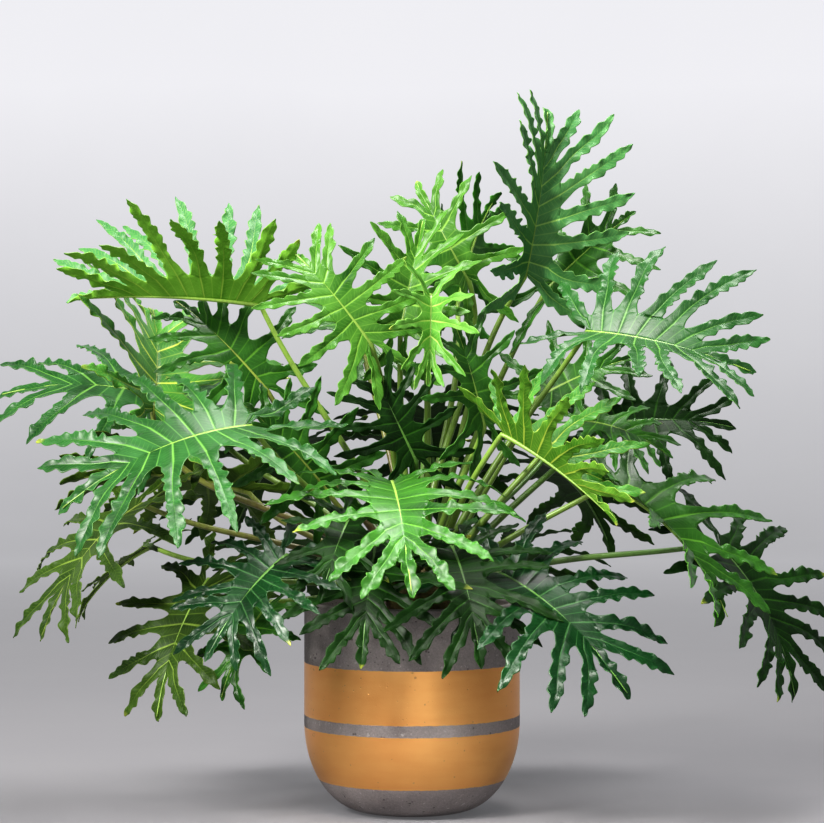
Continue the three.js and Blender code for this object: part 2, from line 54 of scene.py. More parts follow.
# Links the sockets among the values and sets the constants
def give(tree, sockets, values):
    for key, value in values.items():
        if isinstance(value, bpy.types.NodeSocket):
            tree.links.new(value, sockets[key])
        else:
            sockets[key].default_value = value


def makeNode(tree, kind, values=None, **settings):
    node = tree.nodes.new(kind)
    for name, value in settings.items():
        setattr(node, name, value)
    give(tree, node.inputs, values or {})
    return node


def mathNode(tree, operation, first, second=0.0, third=0.0):
    values = {0: first, 1: second, 2: third}
    return makeNode(tree, "ShaderNodeMath", values, operation=operation).outputs[0]


def plus(tree, first, second):
    return mathNode(tree, "ADD", first, second)


def minus(tree, first, second):
    return mathNode(tree, "SUBTRACT", first, second)


def times(tree, first, second, added=None):
    if added is None:
        return mathNode(tree, "MULTIPLY", first, second)
    return mathNode(tree, "MULTIPLY_ADD", first, second, added)


def rangeNode(tree, value, low, high, toLow=0.0, toHigh=1.0):
    values = {"Value": value, "From Min": low, "From Max": high, "To Min": toLow, "To Max": toHigh}
    return makeNode(tree, "ShaderNodeMapRange", values, clamp=True).outputs[0]


def mixNode(tree, share, first, second):
    values = {0: share, 6: first, 7: second}
    return makeNode(tree, "ShaderNodeMix", values, data_type="RGBA").outputs[2]


def noiseNode(tree, vector, scale, detail=4.0, roughness=0.55):
    values = {"Vector": vector, "Scale": scale, "Detail": detail, "Roughness": roughness}
    return makeNode(tree, "ShaderNodeTexNoise", values).outputs[0]


def placeNode(tree):
    return tree.nodes.new("ShaderNodeTexCoord").outputs["Object"]


def stretchNode(tree, place, scale):
    return makeNode(tree, "ShaderNodeMapping", {"Vector": place, "Scale": scale}).outputs[0]


def axesNode(tree, place):
    return makeNode(tree, "ShaderNodeSeparateXYZ", {0: place}).outputs


def attributeNode(tree, name):
    return makeNode(tree, "ShaderNodeAttribute", attribute_name=name).outputs["Fac"]


def newGroup(name, inputs, outputs):
    tree = bpy.data.node_groups.new(name, "ShaderNodeTree")
    kinds = {"color": "NodeSocketColor", "value": "NodeSocketFloat"}
    for label, kind in inputs:
        tree.interface.new_socket(label, in_out="INPUT", socket_type=kinds[kind])
    for label, kind in outputs:
        tree.interface.new_socket(label, in_out="OUTPUT", socket_type=kinds[kind])
    return tree, tree.nodes.new("NodeGroupInput").outputs, tree.nodes.new("NodeGroupOutput").inputs


def newMaterial(name):
    material = bpy.data.materials.new(name)
    material.use_nodes = True
    tree = material.node_tree
    shader = next(node for node in tree.nodes if node.type == "BSDF_PRINCIPLED")
    return material, tree, shader


def bumpNode(tree, shader, height, strength, distance):
    values = {"Height": height, "Strength": strength, "Distance": distance}
    bump = makeNode(tree, "ShaderNodeBump", values)
    tree.links.new(bump.outputs[0], shader.inputs["Normal"])


# The last step of a plain material: its colour, its roughness and the relief of its surface
def finishPlain(tree, shader, colour, height, look):
    give(tree, shader.inputs, {"Base Color": colour, "Roughness": look["rough"]})
    bumpNode(tree, shader, height, look["bump"], look["relief"])


def addObject(name, points, faces, materials, smooth=True, faceMaterials=None, values=None):
    mesh = bpy.data.meshes.new(name)
    mesh.from_pydata((np.asarray(points, float) * mm).tolist(), [], faces)
    for material in materials:
        mesh.materials.append(material)
    if faceMaterials is not None:
        mesh.polygons.foreach_set("material_index", faceMaterials)
    mesh.polygons.foreach_set("use_smooth", [smooth] * len(mesh.polygons))
    for label, numbers in (values or {}).items():
        attribute = mesh.attributes.new(label, "FLOAT", "POINT")
        attribute.data.foreach_set("value", np.asarray(numbers, np.float32))
    mesh.update()
    made = bpy.data.objects.new(name, mesh)
    scene.collection.objects.link(made)
    return made


def turnsOf(sides):
    return np.arange(sides) * 2 * math.pi / sides


def ringFaces(rings, around):
    faces = []
    for ring in range(rings - 1):
        low = ring * around
        for k in range(around):
            after = (k + 1) % around
            faces.append((low + k, low + after, low + around + after, low + around + k))
    return faces


# Rings from the bottom up, closed by a flat face at both ends
def closedFaces(rings, around):
    last = (rings - 1) * around
    return ringFaces(rings, around) + [tuple(range(around))[::-1], tuple(range(last, last + around))]


def turnedPoints(profile, sides, centre=(0, 0)):
    turn = turnsOf(sides)
    rows = [
        np.stack([centre[0] + r * np.cos(turn), centre[1] + r * np.sin(turn), np.full(sides, z)], 1)
        for r, z in profile
    ]
    return np.concatenate(rows)


def arc(centre, radius, first, last, steps):
    turns = np.radians(np.linspace(first, last, steps))
    return [(centre[0] + radius * math.cos(t), centre[1] + radius * math.sin(t)) for t in turns]


# The pot

potShape = {
    "radius": 140,
    "height": 270,
    "footRadius": 60,
    "footEdge": 3,  # between the flat foot and the start of the round bottom
    "shoulder": 115,  # height at which the round bottom meets the straight wall
    "wall": 14,
    "floor": 22,
    "lip": 3,
    "corner": 0.5,  # where the inside's floor begins to rise, as a share of its radius
    "bend": 0.65,  # share of the way from there to the wall
    "bendHeight": 22,  # height above the floor at that place
    "sides": 160,
    "bowlSteps": 26,
    "wallSteps": 14,
    "lipSteps": 6,
    "bands": ((42, 110), (125, 193)),
    "bandWave": 0.9,
    "bandBlur": 0.25,
    "paintFrom": 133.5,  # radius outside which the wall can be painted
    "paintBelow": 98.5,  # height under which the round bottom can be painted
}
concreteLook = {
    "light": rgb(152, 145, 143),
    "dark": rgb(104, 97, 97),
    "pore": rgb(48, 44, 43),
    "fleck": rgb(178, 173, 168),
    "paint": rgb(248, 192, 118),
    "paintDeep": rgb(232, 160, 92),
    "poreDepth": -0.8,
    "metal": 0.95,
    "paintRough": 0.34,
    "bareRough": 0.72,
    "relief": 0.0008,
}


# Where the two bands are painted: on the outside alone, with a slightly uneven edge
def paintMask(tree, place, pore):
    shape = potShape
    axes = axesNode(tree, place)
    wobble = noiseNode(tree, place, 130, 3, 0.6)
    height = times(tree, wobble, 2 * shape["bandWave"] * mm, axes[2])
    height = minus(tree, height, shape["bandWave"] * mm)
    blur = shape["bandBlur"]
    paint = None
    for low, high in shape["bands"]:
        above = rangeNode(tree, height, (low - blur) * mm, (low + blur) * mm)
        below = rangeNode(tree, height, (high - blur) * mm, (high + blur) * mm, 1, 0)
        inside = times(tree, above, below)
        paint = inside if paint is None else plus(tree, paint, inside)
    squares = [mathNode(tree, "POWER", axes[k], 2.0) for k in (0, 1)]
    radius = mathNode(tree, "SQRT", plus(tree, *squares))
    outside = mathNode(tree, "GREATER_THAN", radius, shape["paintFrom"] * mm)
    low = mathNode(tree, "LESS_THAN", axes[2], shape["paintBelow"] * mm)
    paint = times(tree, paint, mathNode(tree, "MAXIMUM", outside, low))
    return times(tree, paint, rangeNode(tree, pore, 0.8, 1, 1, 0.75))


def concreteMaterial():
    look = concreteLook
    material, tree, shader = newMaterial("bandedConcrete")
    place = placeNode(tree)
    clouds = noiseNode(tree, place, 9, 6, 0.62)
    streaks = noiseNode(tree, stretchNode(tree, place, (1, 1, 0.25)), 42, 4, 0.6)
    grain = noiseNode(tree, place, 420, 3, 0.7)
    fleck = noiseNode(tree, place, 190, 2, 0.5)
    cells = makeNode(tree, "ShaderNodeTexVoronoi", {"Vector": place, "Scale": 165}).outputs["Distance"]
    limit = rangeNode(tree, noiseNode(tree, place, 60, 2, 0.5), 0.45, 0.7, 0.0, 0.3)
    pore = rangeNode(tree, minus(tree, cells, limit), -0.06, 0.02, 1, 0)
    tone = plus(tree, times(tree, clouds, 0.55), times(tree, streaks, 0.25))
    tone = plus(tree, tone, times(tree, grain, 0.6))
    colour = mixNode(tree, rangeNode(tree, tone, 0.48, 0.92), look["dark"], look["light"])
    colour = mixNode(tree, rangeNode(tree, fleck, 0.66, 0.74, 0, 0.7), colour, look["fleck"])
    colour = mixNode(tree, times(tree, pore, 0.7), colour, look["pore"])
    paint = paintMask(tree, place, pore)
    strokes = noiseNode(tree, stretchNode(tree, place, (1, 1, 5)), 16, 3, 0.5)
    paintTone = times(tree, clouds, 0.6, times(tree, strokes, 0.4))
    painted = mixNode(tree, rangeNode(tree, paintTone, 0.2, 0.78), look["paintDeep"], look["paint"])
    rough = times(tree, strokes, 0.06, look["paintRough"])
    bare = times(tree, grain, 0.2, look["bareRough"])
    bareShare = times(tree, bare, minus(tree, 1.0, paint))
    finish = {
        "Base Color": mixNode(tree, paint, colour, painted),
        "Metallic": times(tree, paint, look["metal"]),
        "Roughness": plus(tree, times(tree, rough, paint), bareShare),
    }
    give(tree, shader.inputs, finish)
    relief = times(tree, pore, look["poreDepth"], times(tree, grain, 0.5))
    relief = times(tree, relief, times(tree, paint, -0.45, 1.0))
    relief = plus(tree, relief, times(tree, streaks, 0.3))
    bumpNode(tree, shader, relief, 0.5, look["relief"])
    return material


# The pot's inside from the wall down to the floor, also for the soil that fills it
def insideProfile(radius, floor):
    corner = radius * potShape["corner"]
    bend = corner + (radius - corner) * potShape["bend"]
    return [(radius, potShape["shoulder"]), (bend, floor + potShape["bendHeight"]), (corner, floor)]


def makePot():
    shape = potShape
    outer, top, lip, foot = shape["radius"], shape["height"], shape["lip"], shape["footRadius"]
    shoulder, inner = shape["shoulder"], outer - shape["wall"]
    quarter = np.radians(np.linspace(0, 90, shape["bowlSteps"]))
    bowl = [(foot + (outer - foot) * math.sin(t), shoulder * (1 - math.cos(t))) for t in quarter]
    side = [(outer, z) for z in np.linspace(shoulder, top - lip, shape["wallSteps"])[1:-1]]
    rim = arc((outer - lip, top - lip), lip, 0, 90, shape["lipSteps"])
    rim += arc((inner + lip, top - lip), lip, 90, 180, shape["lipSteps"])
    profile = [(foot - shape["footEdge"], 0.0)] + bowl + side + rim + insideProfile(inner, shape["floor"])
    points = turnedPoints(profile, shape["sides"])
    faces = closedFaces(len(profile), shape["sides"])
    made = addObject("plantPot", points, faces, [concreteMaterial()])
    made.data.polygons[-1].use_smooth = False
    made.data.polygons[-2].use_smooth = False
    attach(made, "root")
    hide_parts("pot")


makePot()
print("made the pot")

# The soil with its bark chips, and the crown

crownShape = {
    "place": (10, 0, 274),
    "radius": 46,
    "trunkRadius": 32,
    "depth": 60,  # of the stem below the round crown
    "skin": 1.2,  # how far inside the solid the bark is drawn
    "trunkSkin": 1,
    "domeEnd": 88,  # degrees above its middle at which the crown is closed
    "scars": 0.9,
    "scarTurns": 9,
    "scarSlant": 0.09,
    "ridges": 0.7,
    "ridgeTurn": 0.42,
    "ridgeBend": 2,
    "ridgeTurns": 3,
    "sides": 96,
    "rings": 44,
}
soilShape = {
    "edge": 236,
    "mound": 5,
    "radius": 125.4,
    "gap": 0.3,
    "lumps": 1.6,
    "lumpTurns": (0.21, 0.19),  # radians to a millimetre, along x and y
    "lumpBend": 1.3,
    "bendTurn": 0.17,
    "crumbs": 0.9,
    "calmEdge": 11,  # how fast the lumps grow from both edges
    "sides": 120,
    "rings": 40,
    "seed": 7,
}
chipShape = {
    "count": 260,
    "length": (3, 8),
    "width": (1.6, 3.5),
    "height": (0.7, 1.6),
    "uneven": (0.65, 1.1),
    "lean": 0.3,
    "raised": 1.2,
    "spread": (0.12, 0.92),
}
soilLook = {
    "dark": rgb(28, 20, 14),
    "light": rgb(92, 70, 50),
    "rough": 0.92,
    "bump": 0.9,
    "relief": 0.002,
}
chipLook = {
    "dark": rgb(52, 34, 22),
    "light": rgb(132, 98, 66),
    "rough": 0.85,
    "bump": 0.6,
    "relief": 0.001,
}
barkLook = {
    "dark": rgb(62, 44, 28),
    "light": rgb(120, 112, 62),
    "fibre": rgb(158, 134, 92),
    "rough": 0.8,
    "bump": 0.8,
    "relief": 0.002,
}


def soilMaterial():
    material, tree, shader = newMaterial("darkSoil")
    place = placeNode(tree)
    lumps = noiseNode(tree, place, 120, 5, 0.7)
    crumbs = noiseNode(tree, place, 520, 3, 0.7)
    tone = times(tree, crumbs, 0.5, times(tree, lumps, 0.6))
    colour = mixNode(tree, rangeNode(tree, tone, 0.4, 0.75), soilLook["dark"], soilLook["light"])
    finishPlain(tree, shader, colour, tone, soilLook)
    return material


def chipMaterial():
    material, tree, shader = newMaterial("barkChips")
    tone = noiseNode(tree, stretchNode(tree, placeNode(tree), (1, 3, 3)), 160, 4, 0.7)
    colour = mixNode(tree, rangeNode(tree, tone, 0.3, 0.7), chipLook["dark"], chipLook["light"])
    finishPlain(tree, shader, colour, tone, chipLook)
    return material


def barkMaterial():
    material, tree, shader = newMaterial("crownBark")
    place = placeNode(tree)
    tone = noiseNode(tree, stretchNode(tree, place, (1, 1, 3.5)), 48, 6, 0.7)
    fibre = noiseNode(tree, place, 260, 3, 0.6)
    colour = mixNode(tree, rangeNode(tree, tone, 0.35, 0.65), barkLook["dark"], barkLook["light"])
    colour = mixNode(tree, rangeNode(tree, fibre, 0.55, 0.75, 0, 0.6), colour, barkLook["fibre"])
    height = plus(tree, tone, times(tree, fibre, 0.4))
    finishPlain(tree, shader, colour, height, barkLook)
    return material


# Rings from the bottom of the stem's hole up, outwards over the mound and down inside the pot
def makeSoil(random):
    shape = soilShape
    sides, gap = shape["sides"], shape["gap"]
    hole = crownShape["trunkRadius"] + gap
    crownX, crownY, crownZ = crownShape["place"]
    turnX, turnY = shape["lumpTurns"]
    turn = turnsOf(sides)
    foot = crownZ - crownShape["radius"] - crownShape["depth"] - gap
    rows = [turnedPoints([(hole, foot)], sides, (crownX, crownY))]
    for along in np.linspace(0, 1, shape["rings"]):
        radius = hole + (shape["radius"] - hole) * along
        x, y = crownX * (1 - along) + radius * np.cos(turn), radius * np.sin(turn)
        bend = shape["lumpBend"] * np.sin(y * shape["bendTurn"])
        rough = shape["lumps"] * np.sin(x * turnX + bend) * np.cos(y * turnY)
        rough = rough + random.normal(0, shape["crumbs"], sides)
        fade = min(1, along * shape["calmEdge"], (1 - along) * shape["calmEdge"])
        z = shape["edge"] + shape["mound"] * min(1, 2 - 2 * along) + rough * fade
        rows.append(np.stack([x, y, z], 1))
    below = insideProfile(shape["radius"], potShape["floor"] + 2 * gap)
    points = np.concatenate([*rows, turnedPoints(below, sides)])
    faces = [face[::-1] for face in closedFaces(len(points) // sides, sides)]
    made = addObject("soilTop", points, faces, [soilMaterial()])
    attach(made, "root")
    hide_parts("potting_soil")


def makeChips(random):
    shape, soil = chipShape, soilShape
    hump = (soil["radius"] + crownShape["trunkRadius"]) / 2
    points, faces = [], []
    block = np.array([[x, y, z] for x in (-1, 1) for y in (-1, 1) for z in (-1, 1)], float)
    blockFaces = ((0, 1, 3, 2), (4, 6, 7, 5), (0, 4, 5, 1), (2, 3, 7, 6), (0, 2, 6, 4), (1, 5, 7, 3))
    for _ in range(shape["count"]):
        turn = random.uniform(0, 2 * math.pi)
        radius = soil["radius"] * math.sqrt(random.uniform(*shape["spread"]))
        size = np.array([random.uniform(*shape[side]) for side in ("length", "width", "height")])
        corners = block * size * random.uniform(*shape["uneven"], (8, 3))
        lean, spin = random.normal(0, shape["lean"]), random.uniform(0, math.pi)
        c, s = math.cos(lean), math.sin(lean)
        tilt = np.array([[c, 0, s], [0, 1, 0], [-s, 0, c]])
        c, s = math.cos(spin), math.sin(spin)
        yaw = np.array([[c, -s, 0], [s, c, 0], [0, 0, 1]])
        share = np.clip((soil["radius"] - radius) / (soil["radius"] - hump), 0, 1)
        z = soil["edge"] + shape["raised"] + soil["mound"] * share
        first = len(points)
        points.extend(corners @ tilt.T @ yaw.T + [radius * math.cos(turn), radius * math.sin(turn), z])
        faces.extend(tuple(first + k for k in face) for face in blockFaces)
    chips = addObject("soilChips", points, faces, [chipMaterial()], smooth=False)
    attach(chips, "root")


def makeCrown():
    shape = crownShape
    sides, trunk, centre = shape["sides"], shape["trunkRadius"], np.array(shape["place"], float)
    neck = -math.degrees(math.acos(trunk / shape["radius"]))
    foot = centre[2] - shape["radius"] - shape["depth"]
    dome = arc((0, centre[2]), shape["radius"] - shape["skin"], neck, shape["domeEnd"], shape["rings"])
    points = turnedPoints([(trunk - shape["trunkSkin"], foot)] + dome, sides, centre[:2])
    away = points[sides:] - centre
    turn, z = np.arctan2(away[:, 1], away[:, 0]), away[:, 2]
    scar = shape["scars"] * np.abs(np.sin(turn * shape["scarTurns"] + z * shape["scarSlant"]))
    bend = shape["ridgeBend"] * np.sin(turn * shape["ridgeTurns"])
    scar = scar + shape["ridges"] * np.abs(np.sin(z * shape["ridgeTurn"] + bend))
    points[sides:] = centre + away * (1 - (scar / shape["radius"])[:, None])
    made = addObject("crownStem", points, closedFaces(len(dome) + 1, sides), [barkMaterial()])
    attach(made, "root")
    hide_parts("crown_stem")


soilRandom = np.random.default_rng(soilShape["seed"])
makeSoil(soilRandom)
makeChips(soilRandom)
makeCrown()
print("made the soil, the chips and the crown")


# The leaves. A blade is laid out flat, with x along the midrib and y across it as shares of its
# length, and then bent to its place. Each lobe follows the one of the solid: see settle below.

blade = {
    "thickness": 0.9,
    "baseWidth": 6,
    "lastRoot": 0.64,  # where the last pair of lobes leaves the midrib
    "joined": 0.24,  # share of a lobe that is joined to its neighbours
    "strap": 0.042,  # half a lobe's width
    "crowded": 7.5,  # pairs of lobes above which they get narrower
    "tooth": 0.14,
    "toothStep": 0.6,
    "opening": 0.2,  # share of a lobe over which the web turns into it
    "firstAngle": 148,
    "angleDrop": 108,
    "anglePower": 0.8,
    "angleSpread": 14,
    "firstLength": 0.45,
    "lengthRise": 0.8,
    "lengthFall": 0.83,
    "lengthSpread": 0.24,
    "tiltSpread": 20,
    "rootPower": 1.15,
    "firstSweep": -0.06,
    "sweep": 0.08,
    "firstJoined": 0.2,
    "lastJoined": 0.12,
    "lastStep": 0.05,
    "earAside": 0.055,
    "earBack": 0.7,
    "narrow": 0.74,
    "widen": 0.6,
    "pointPower": 2.6,
    "pointRound": 0.9,
    "picks": 31,  # numbers kept for the chances of one leaf's lobes
    "lastPick": 29,
}
stalk = {
    "rootRadius": 5.2,
    "tipRadius": 3.4,
    "spacing": 13.6,
    "rounds": 60,  # of pushing the stalks apart
    "start": 0.7,
    "seat": 2.4,  # how deep a stalk is seated in the crown
    "outward": 0.36,
    "lift": 0.1,
    "approach": 0.3,
    "intoRib": 0.6,
    "fromUnder": 0.8,
    "sag": 0.08,
    "endRadius": 0.7,
    "rootSwell": 0.35,
    "groove": 0.16,
    "grooveWidth": 0.5,
    "ribEnd": 0.97,
    "ribTaper": 1.35,
    "sunk": 0.5,  # share of its radius that the midrib is sunk in the blade
    "ribGap": 0.1,
    "sinkPower": 6,  # how late the stalk's end sinks to the midrib's depth
    "swellFade": 14,
    "crownShares": (0, 0.3, 121),  # of its path, where it is looked for leaving the crown
    "sides": 12,
    "steps": 34,
    "ribSteps": 26,
}
crisp = {
    "rowPower": 1.2,  # above 1, rows lie closer towards the tip
    "pucker": 0.3,
    "puckerStep": 11,
    "puckerSlant": 0.9,
    "crease": 0.9,
    "creaseWidth": 0.13,
    "reliefAtTip": 0.4,
    "veinWidth": 0.1,
    "veinReach": 1.15,
    "calmRows": 3,  # rows at the midrib that stay smooth
    "turnAtRoot": 0.4,  # share of its tilt and bend that a lobe has from the start
    "keel": 0.22,
    "keelSpread": (0.5, 1),
    "droop": 0.11,
    "calm": 0.1,
    "sway": 0.022,
    "swayWaves": (0.6, 0.4),
    "bulge": 0.11,
    "pointPower": 3.2,
    "pointRound": 0.85,
    "fullSteps": (8, 52),  # rows of the web and of the lobe, for a leaf in front
    "fewSteps": (6, 36),
}
# In both, step is the length of one wave or tooth, spreads are the least and what chance adds,
# turns are in radians, and seeds are for the two edges of a lobe
frillShape = {
    "size": 0.0115,
    "sizeSpread": (0.7, 0.6),
    "power": 1.7,  # how much the frill keeps to the margin
    "grow": 4,
    "fade": 0.5,
    "step": 22,
    "stepSpread": (0.8, 0.45),
    "swell": 0.8,
    "swellMore": 0.35,
    "swellTurn": 0.09,
    "slow": 0.4,
    "slowTurn": 0.57,
    "slowShift": 5,
    "sharp": 0.35,
    "seeds": (1000, 1300),
}
toothShape = {
    "size": 0.33,
    "grow": 0.2,
    "step": 16,
    "stepSpread": (0.75, 0.9),
    "wander": 0.25,
    "wanderTurn": 0.045,
    "wanderShift": 6,
    "least": 0.3,
    "more": 0.7,
    "mixing": 12.9,
    "lean": 0.7,
    "backPower": 0.8,
    "notchPower": 0.7,
    "middle": 0.8,
    "seeds": (400, 700),
}
bendTries = (0, 14, -14, 28, -28, 42, -42, 56, -56)
reachTries = (1, 0.8, 0.62, 0.45)
lastTry = (0, 0.2)
swingTries = (0, 6, -6, 12, -12, 18, -18, 24, -24, 36, -36, 50, -50)
fullColumns = np.array([-1, -0.86, -0.64, -0.38, -0.15, 0, 0.15, 0.38, 0.64, 0.86, 1])
fewColumns = np.array([-1, -0.8, -0.5, -0.18, 0, 0.18, 0.5, 0.8, 1])

# Base and tip are the midrib's, face is the direction of the upper side, fold and curl are in
# degrees, arch is a share of the length, pairs are those of lobes, and forward is a share of the
# usual angle between lobes and midrib.
leafKeys = ("name", "base", "tip", "face", "fold", "curl", "arch", "pairs", "forward", "tone")
leafTable = [
    ("upper_left", (-195, -20, 655), (-445, -40, 660), (0, -0.1, 1), 52, -10, 0.03, 9, 0.92, "lit"),
    ("left_back", (-335, -15, 515), (-358, 200, 662), (0.5, -0.6, 0.6), 30, -15, 0.05, 6, 0.95, "curled"),
    ("left_front", (-200, -150, 500), (-430, -230, 395), (0, -0.6, 0.8), 10, -40, 0.1, 7, 1, "glossy"),
    ("far_left", (-290, 104, 520), (-552, 70, 538), (0, -0.5, 0.9), 5, -40, 0.1, 6, 1, "glossy"),
    ("left_low", (-215, 60, 410), (-465, 40, 425), (0, 0.6, 0.8), 10, -30, 0.08, 6, 1, "olive"),
    ("far_left_low", (-345, -60, 400), (-465, -130, 230), (-0.5, -0.4, 0.8), 10, -40, 0.1, 6, 1, "olive"),
    ("lower_left", (-262, -40, 302), (-320, -130, 130), (-0.5, -0.7, 0.5), 10, -30, 0.08, 6, 1, "olive"),
    ("lower_left_back", (-345, 60, 340), (-445, 60, 240), (-0.5, 0, 0.8), 10, -30, 0.08, 5, 1, "olive"),
    ("lower_left_front", (-155, -160, 340), (-250, -240, 215), (-0.2, -0.75, 0.6), 10, -40, 0.1, 7, 1, "shadedGlossy"),
    ("left_hanging", (-180, -60, 275), (-240, -120, 155), (-0.5, -0.7, 0.4), 10, -20, 0.08, 5, 1, "mid"),
    ("centre_front", (-25, -130, 430), (0, -320, 300), (0, -0.5, 0.85), 14, -45, 0.1, 7, 1, "mid"),
    ("lower_right_front", (110, -120, 315), (265, -230, 170), (0.1, -0.6, 0.75), 12, -40, 0.1, 7, 1, "shadedGlossy"),
    ("far_right", (390, -45, 348), (485, -95, 150), (0.6, -0.6, 0.5), 14, -30, 0.1, 7, 1, "dark"),
    ("right", (252, -60, 425), (395, -150, 255), (0.58, -0.45, 0.74), 26, -30, 0.1, 6, 1, "mid"),
    ("upper_right", (225, -40, 620), (430, -125, 565), (0, -0.75, 0.65), 30, -35, 0.06, 7, 0.82, "glossy"),
    ("top", (150, 60, 695), (180, 60, 920), (0.55, -0.8, 0.2), 38, -20, 0.04, 7, 0.78, "cool"),
    ("top_back", (60, 120, 660), (120, 200, 820), (-0.3, 0.6, 0.6), 10, -30, 0.08, 5, 1, "glossy"),
    ("centre_top", (-52, -95, 602), (-160, -66, 728), (-0.2, -0.7, 0.7), 15, -40, 0.1, 7, 1, "sunlit"),
    ("centre_young", (-15, -25, 620), (15, 20, 770), (0, -0.8, 0.5), 30, 10, 0.04, 6, 1, "sunlit"),
    ("youngest", (24, -90, 664), (20, -132, 548), (0.1, -0.9, 0.25), 44, 10, 0.05, 5, 0.8, "young"),
    ("right_curled", (112, -150, 490), (250, -228, 380), (0.28, -0.13, 0.95), 54, 5, 0.04, 7, 0.92, "curled"),
    ("right_middle", (165, 35, 535), (300, 45, 590), (0, -0.85, 0.5), 10, -25, 0.08, 5, 1, "mid"),
    ("right_back", (255, 70, 500), (430, 60, 495), (0.1, -0.85, 0.5), 10, -40, 0.1, 6, 1, "dark"),
    ("right_inner", (205, -66, 506), (330, -92, 458), (0.2, -0.6, 0.8), 10, -40, 0.1, 6, 1, "mid"),
    ("top_right_back", (180, 100, 680), (300, 100, 785), (0.3, -0.5, 0.6), 15, -30, 0.08, 5, 1, "mid"),
    ("left_inner", (-190, 30, 545), (-315, 55, 665), (-0.2, -0.7, 0.7), 14, -35, 0.1, 6, 1, "mid"),
    ("centre_left", (-108, -40, 414), (-218, -78, 528), (-0.2, -0.6, 0.7), 10, -40, 0.1, 6, 1, "mid"),
    ("over_rim", (-46, -108, 348), (-62, -224, 205), (0, -0.75, 0.6), 10, -20, 0.12, 7, 0.95, "dark"),
    ("centre_low", (-75, -120, 390), (-112, -205, 285), (0, -0.6, 0.6), 15, -20, 0.1, 5, 1, "dark"),
    ("back_left", (-150, 190, 480), (-260, 340, 330), (-0.3, 0.5, 0.8), 10, -40, 0.1, 5, 1, "dark"),
    ("back", (20, 190, 520), (40, 370, 350), (0, 0.6, 0.7), 10, -40, 0.1, 5, 1, "dark"),
    ("back_right", (180, 200, 450), (290, 350, 310), (0.3, 0.5, 0.8), 10, -40, 0.1, 5, 1, "dark"),
    ("back_low_left", (-100, 200, 340), (-180, 380, 220), (0, 0.5, 0.8), 10, -40, 0.1, 5, 1, "dark"),
    ("back_low_right", (120, 200, 330), (190, 370, 210), (0, 0.5, 0.8), 10, -40, 0.1, 5, 1, "dark"),
    ("top_inner", (75, 60, 690), (5, 95, 825), (-0.4, -0.8, 0.5), 16, -20, 0.06, 5, 1, "sunlit"),
    ("centre_dark", (5, -70, 455), (-52, -86, 574), (-0.2, -0.85, 0.4), 15, -30, 0.1, 6, 0.95, "dark"),
    ("back_high", (-70, 150, 610), (-150, 290, 690), (-0.2, 0.3, 1), 10, -40, 0.1, 4, 1, "mid"),
    ("right_raised", (92, -80, 498), (52, -95, 632), (0.1, -0.8, 0.4), 20, -20, 0.08, 5, 1, "mid"),
    ("over_rim_right", (50, -112, 348), (84, -228, 205), (0.1, -0.75, 0.6), 10, -20, 0.12, 7, 0.95, "dark"),
]
frontLeaves = (
    "left_front", "lower_left_front", "centre_front", "lower_right_front", "upper_right", "top",
    "upper_left", "right_curled", "centre_top",
)
# These hang and sway less, so that they stay clear of their neighbours
calmLeaves = (
    "centre_top", "over_rim", "over_rim_right", "right_inner", "right_middle", "centre_dark",
    "top_right_back", "back", "centre_low", "lower_left_front",
)
reddishStalks = ("left_back", "left_low", "left_inner", "centre_left", "far_left_low", "back_high")


# What the chances of a lobe or of one of its edges are for
chances = (
    "angle", "length", "tilt", "uneven", "shift", "step", "slow", "frill", "droop", "sway",
    "swayWaves", "shade", "keel",
)


# A number from 0 to 1 that is the same each time for the same lobe or edge and the same use
def chance(pick, use):
    wave = math.sin(pick * 12.9898 + (chances.index(use) + 1) * 78.233) * 43758.5453
    return wave - math.floor(wave)


def spread(leastAndMore, pick, use):
    least, more = leastAndMore
    return least + more * chance(pick, use)


def unit(vector):
    return vector / np.linalg.norm(vector)


def leafOf(index, row):
    leaf = dict(zip(leafKeys, row), index=index)
    base, tip, face = (np.array(leaf[key], float) for key in ("base", "tip", "face"))
    length, face = np.linalg.norm(tip - base), unit(face)
    middle = (base + tip) / 2 + face * 2 * leaf["arch"] * length
    leaf.update(base=base, tip=tip, face=face, length=length, middle=middle)
    leaf.update(fold=math.radians(leaf["fold"]), curl=math.radians(leaf["curl"]))
    leaf["front"] = leaf["name"] in frontLeaves
    leaf["ease"] = crisp["calm"] if leaf["name"] in calmLeaves else 1
    return leaf


def lobeOf(leaf, side, i):
    along = i / (leaf["pairs"] - 1)
    pick = leaf["index"] * blade["picks"] + i * 2 + (1 if side > 0 else 0)
    angle = blade["firstAngle"] - blade["angleDrop"] * along ** blade["anglePower"]
    angle += (chance(pick, "angle") - 0.5) * blade["angleSpread"]
    length = blade["firstLength"] + blade["lengthRise"] * along - blade["lengthFall"] * along**2
    return {
        "side": side,
        "angle": math.radians(angle * leaf["forward"]),
        "length": length * (1 + (chance(pick, "length") - 0.5) * blade["lengthSpread"]),
        "tilt": math.radians((chance(pick, "tilt") - 0.5) * blade["tiltSpread"]),
        "root": blade["lastRoot"] * along ** blade["rootPower"],
        "sweep": blade["firstSweep"] if i == 0 else blade["sweep"],
        "joined": blade["firstJoined"] if i == 0 else blade["joined"],
        "uneven": 0 if chance(pick, "uneven") < 0.5 else 1,
        "strap": blade["strap"] * min(1, blade["crowded"] / leaf["pairs"]),
        "pick": pick,
    }


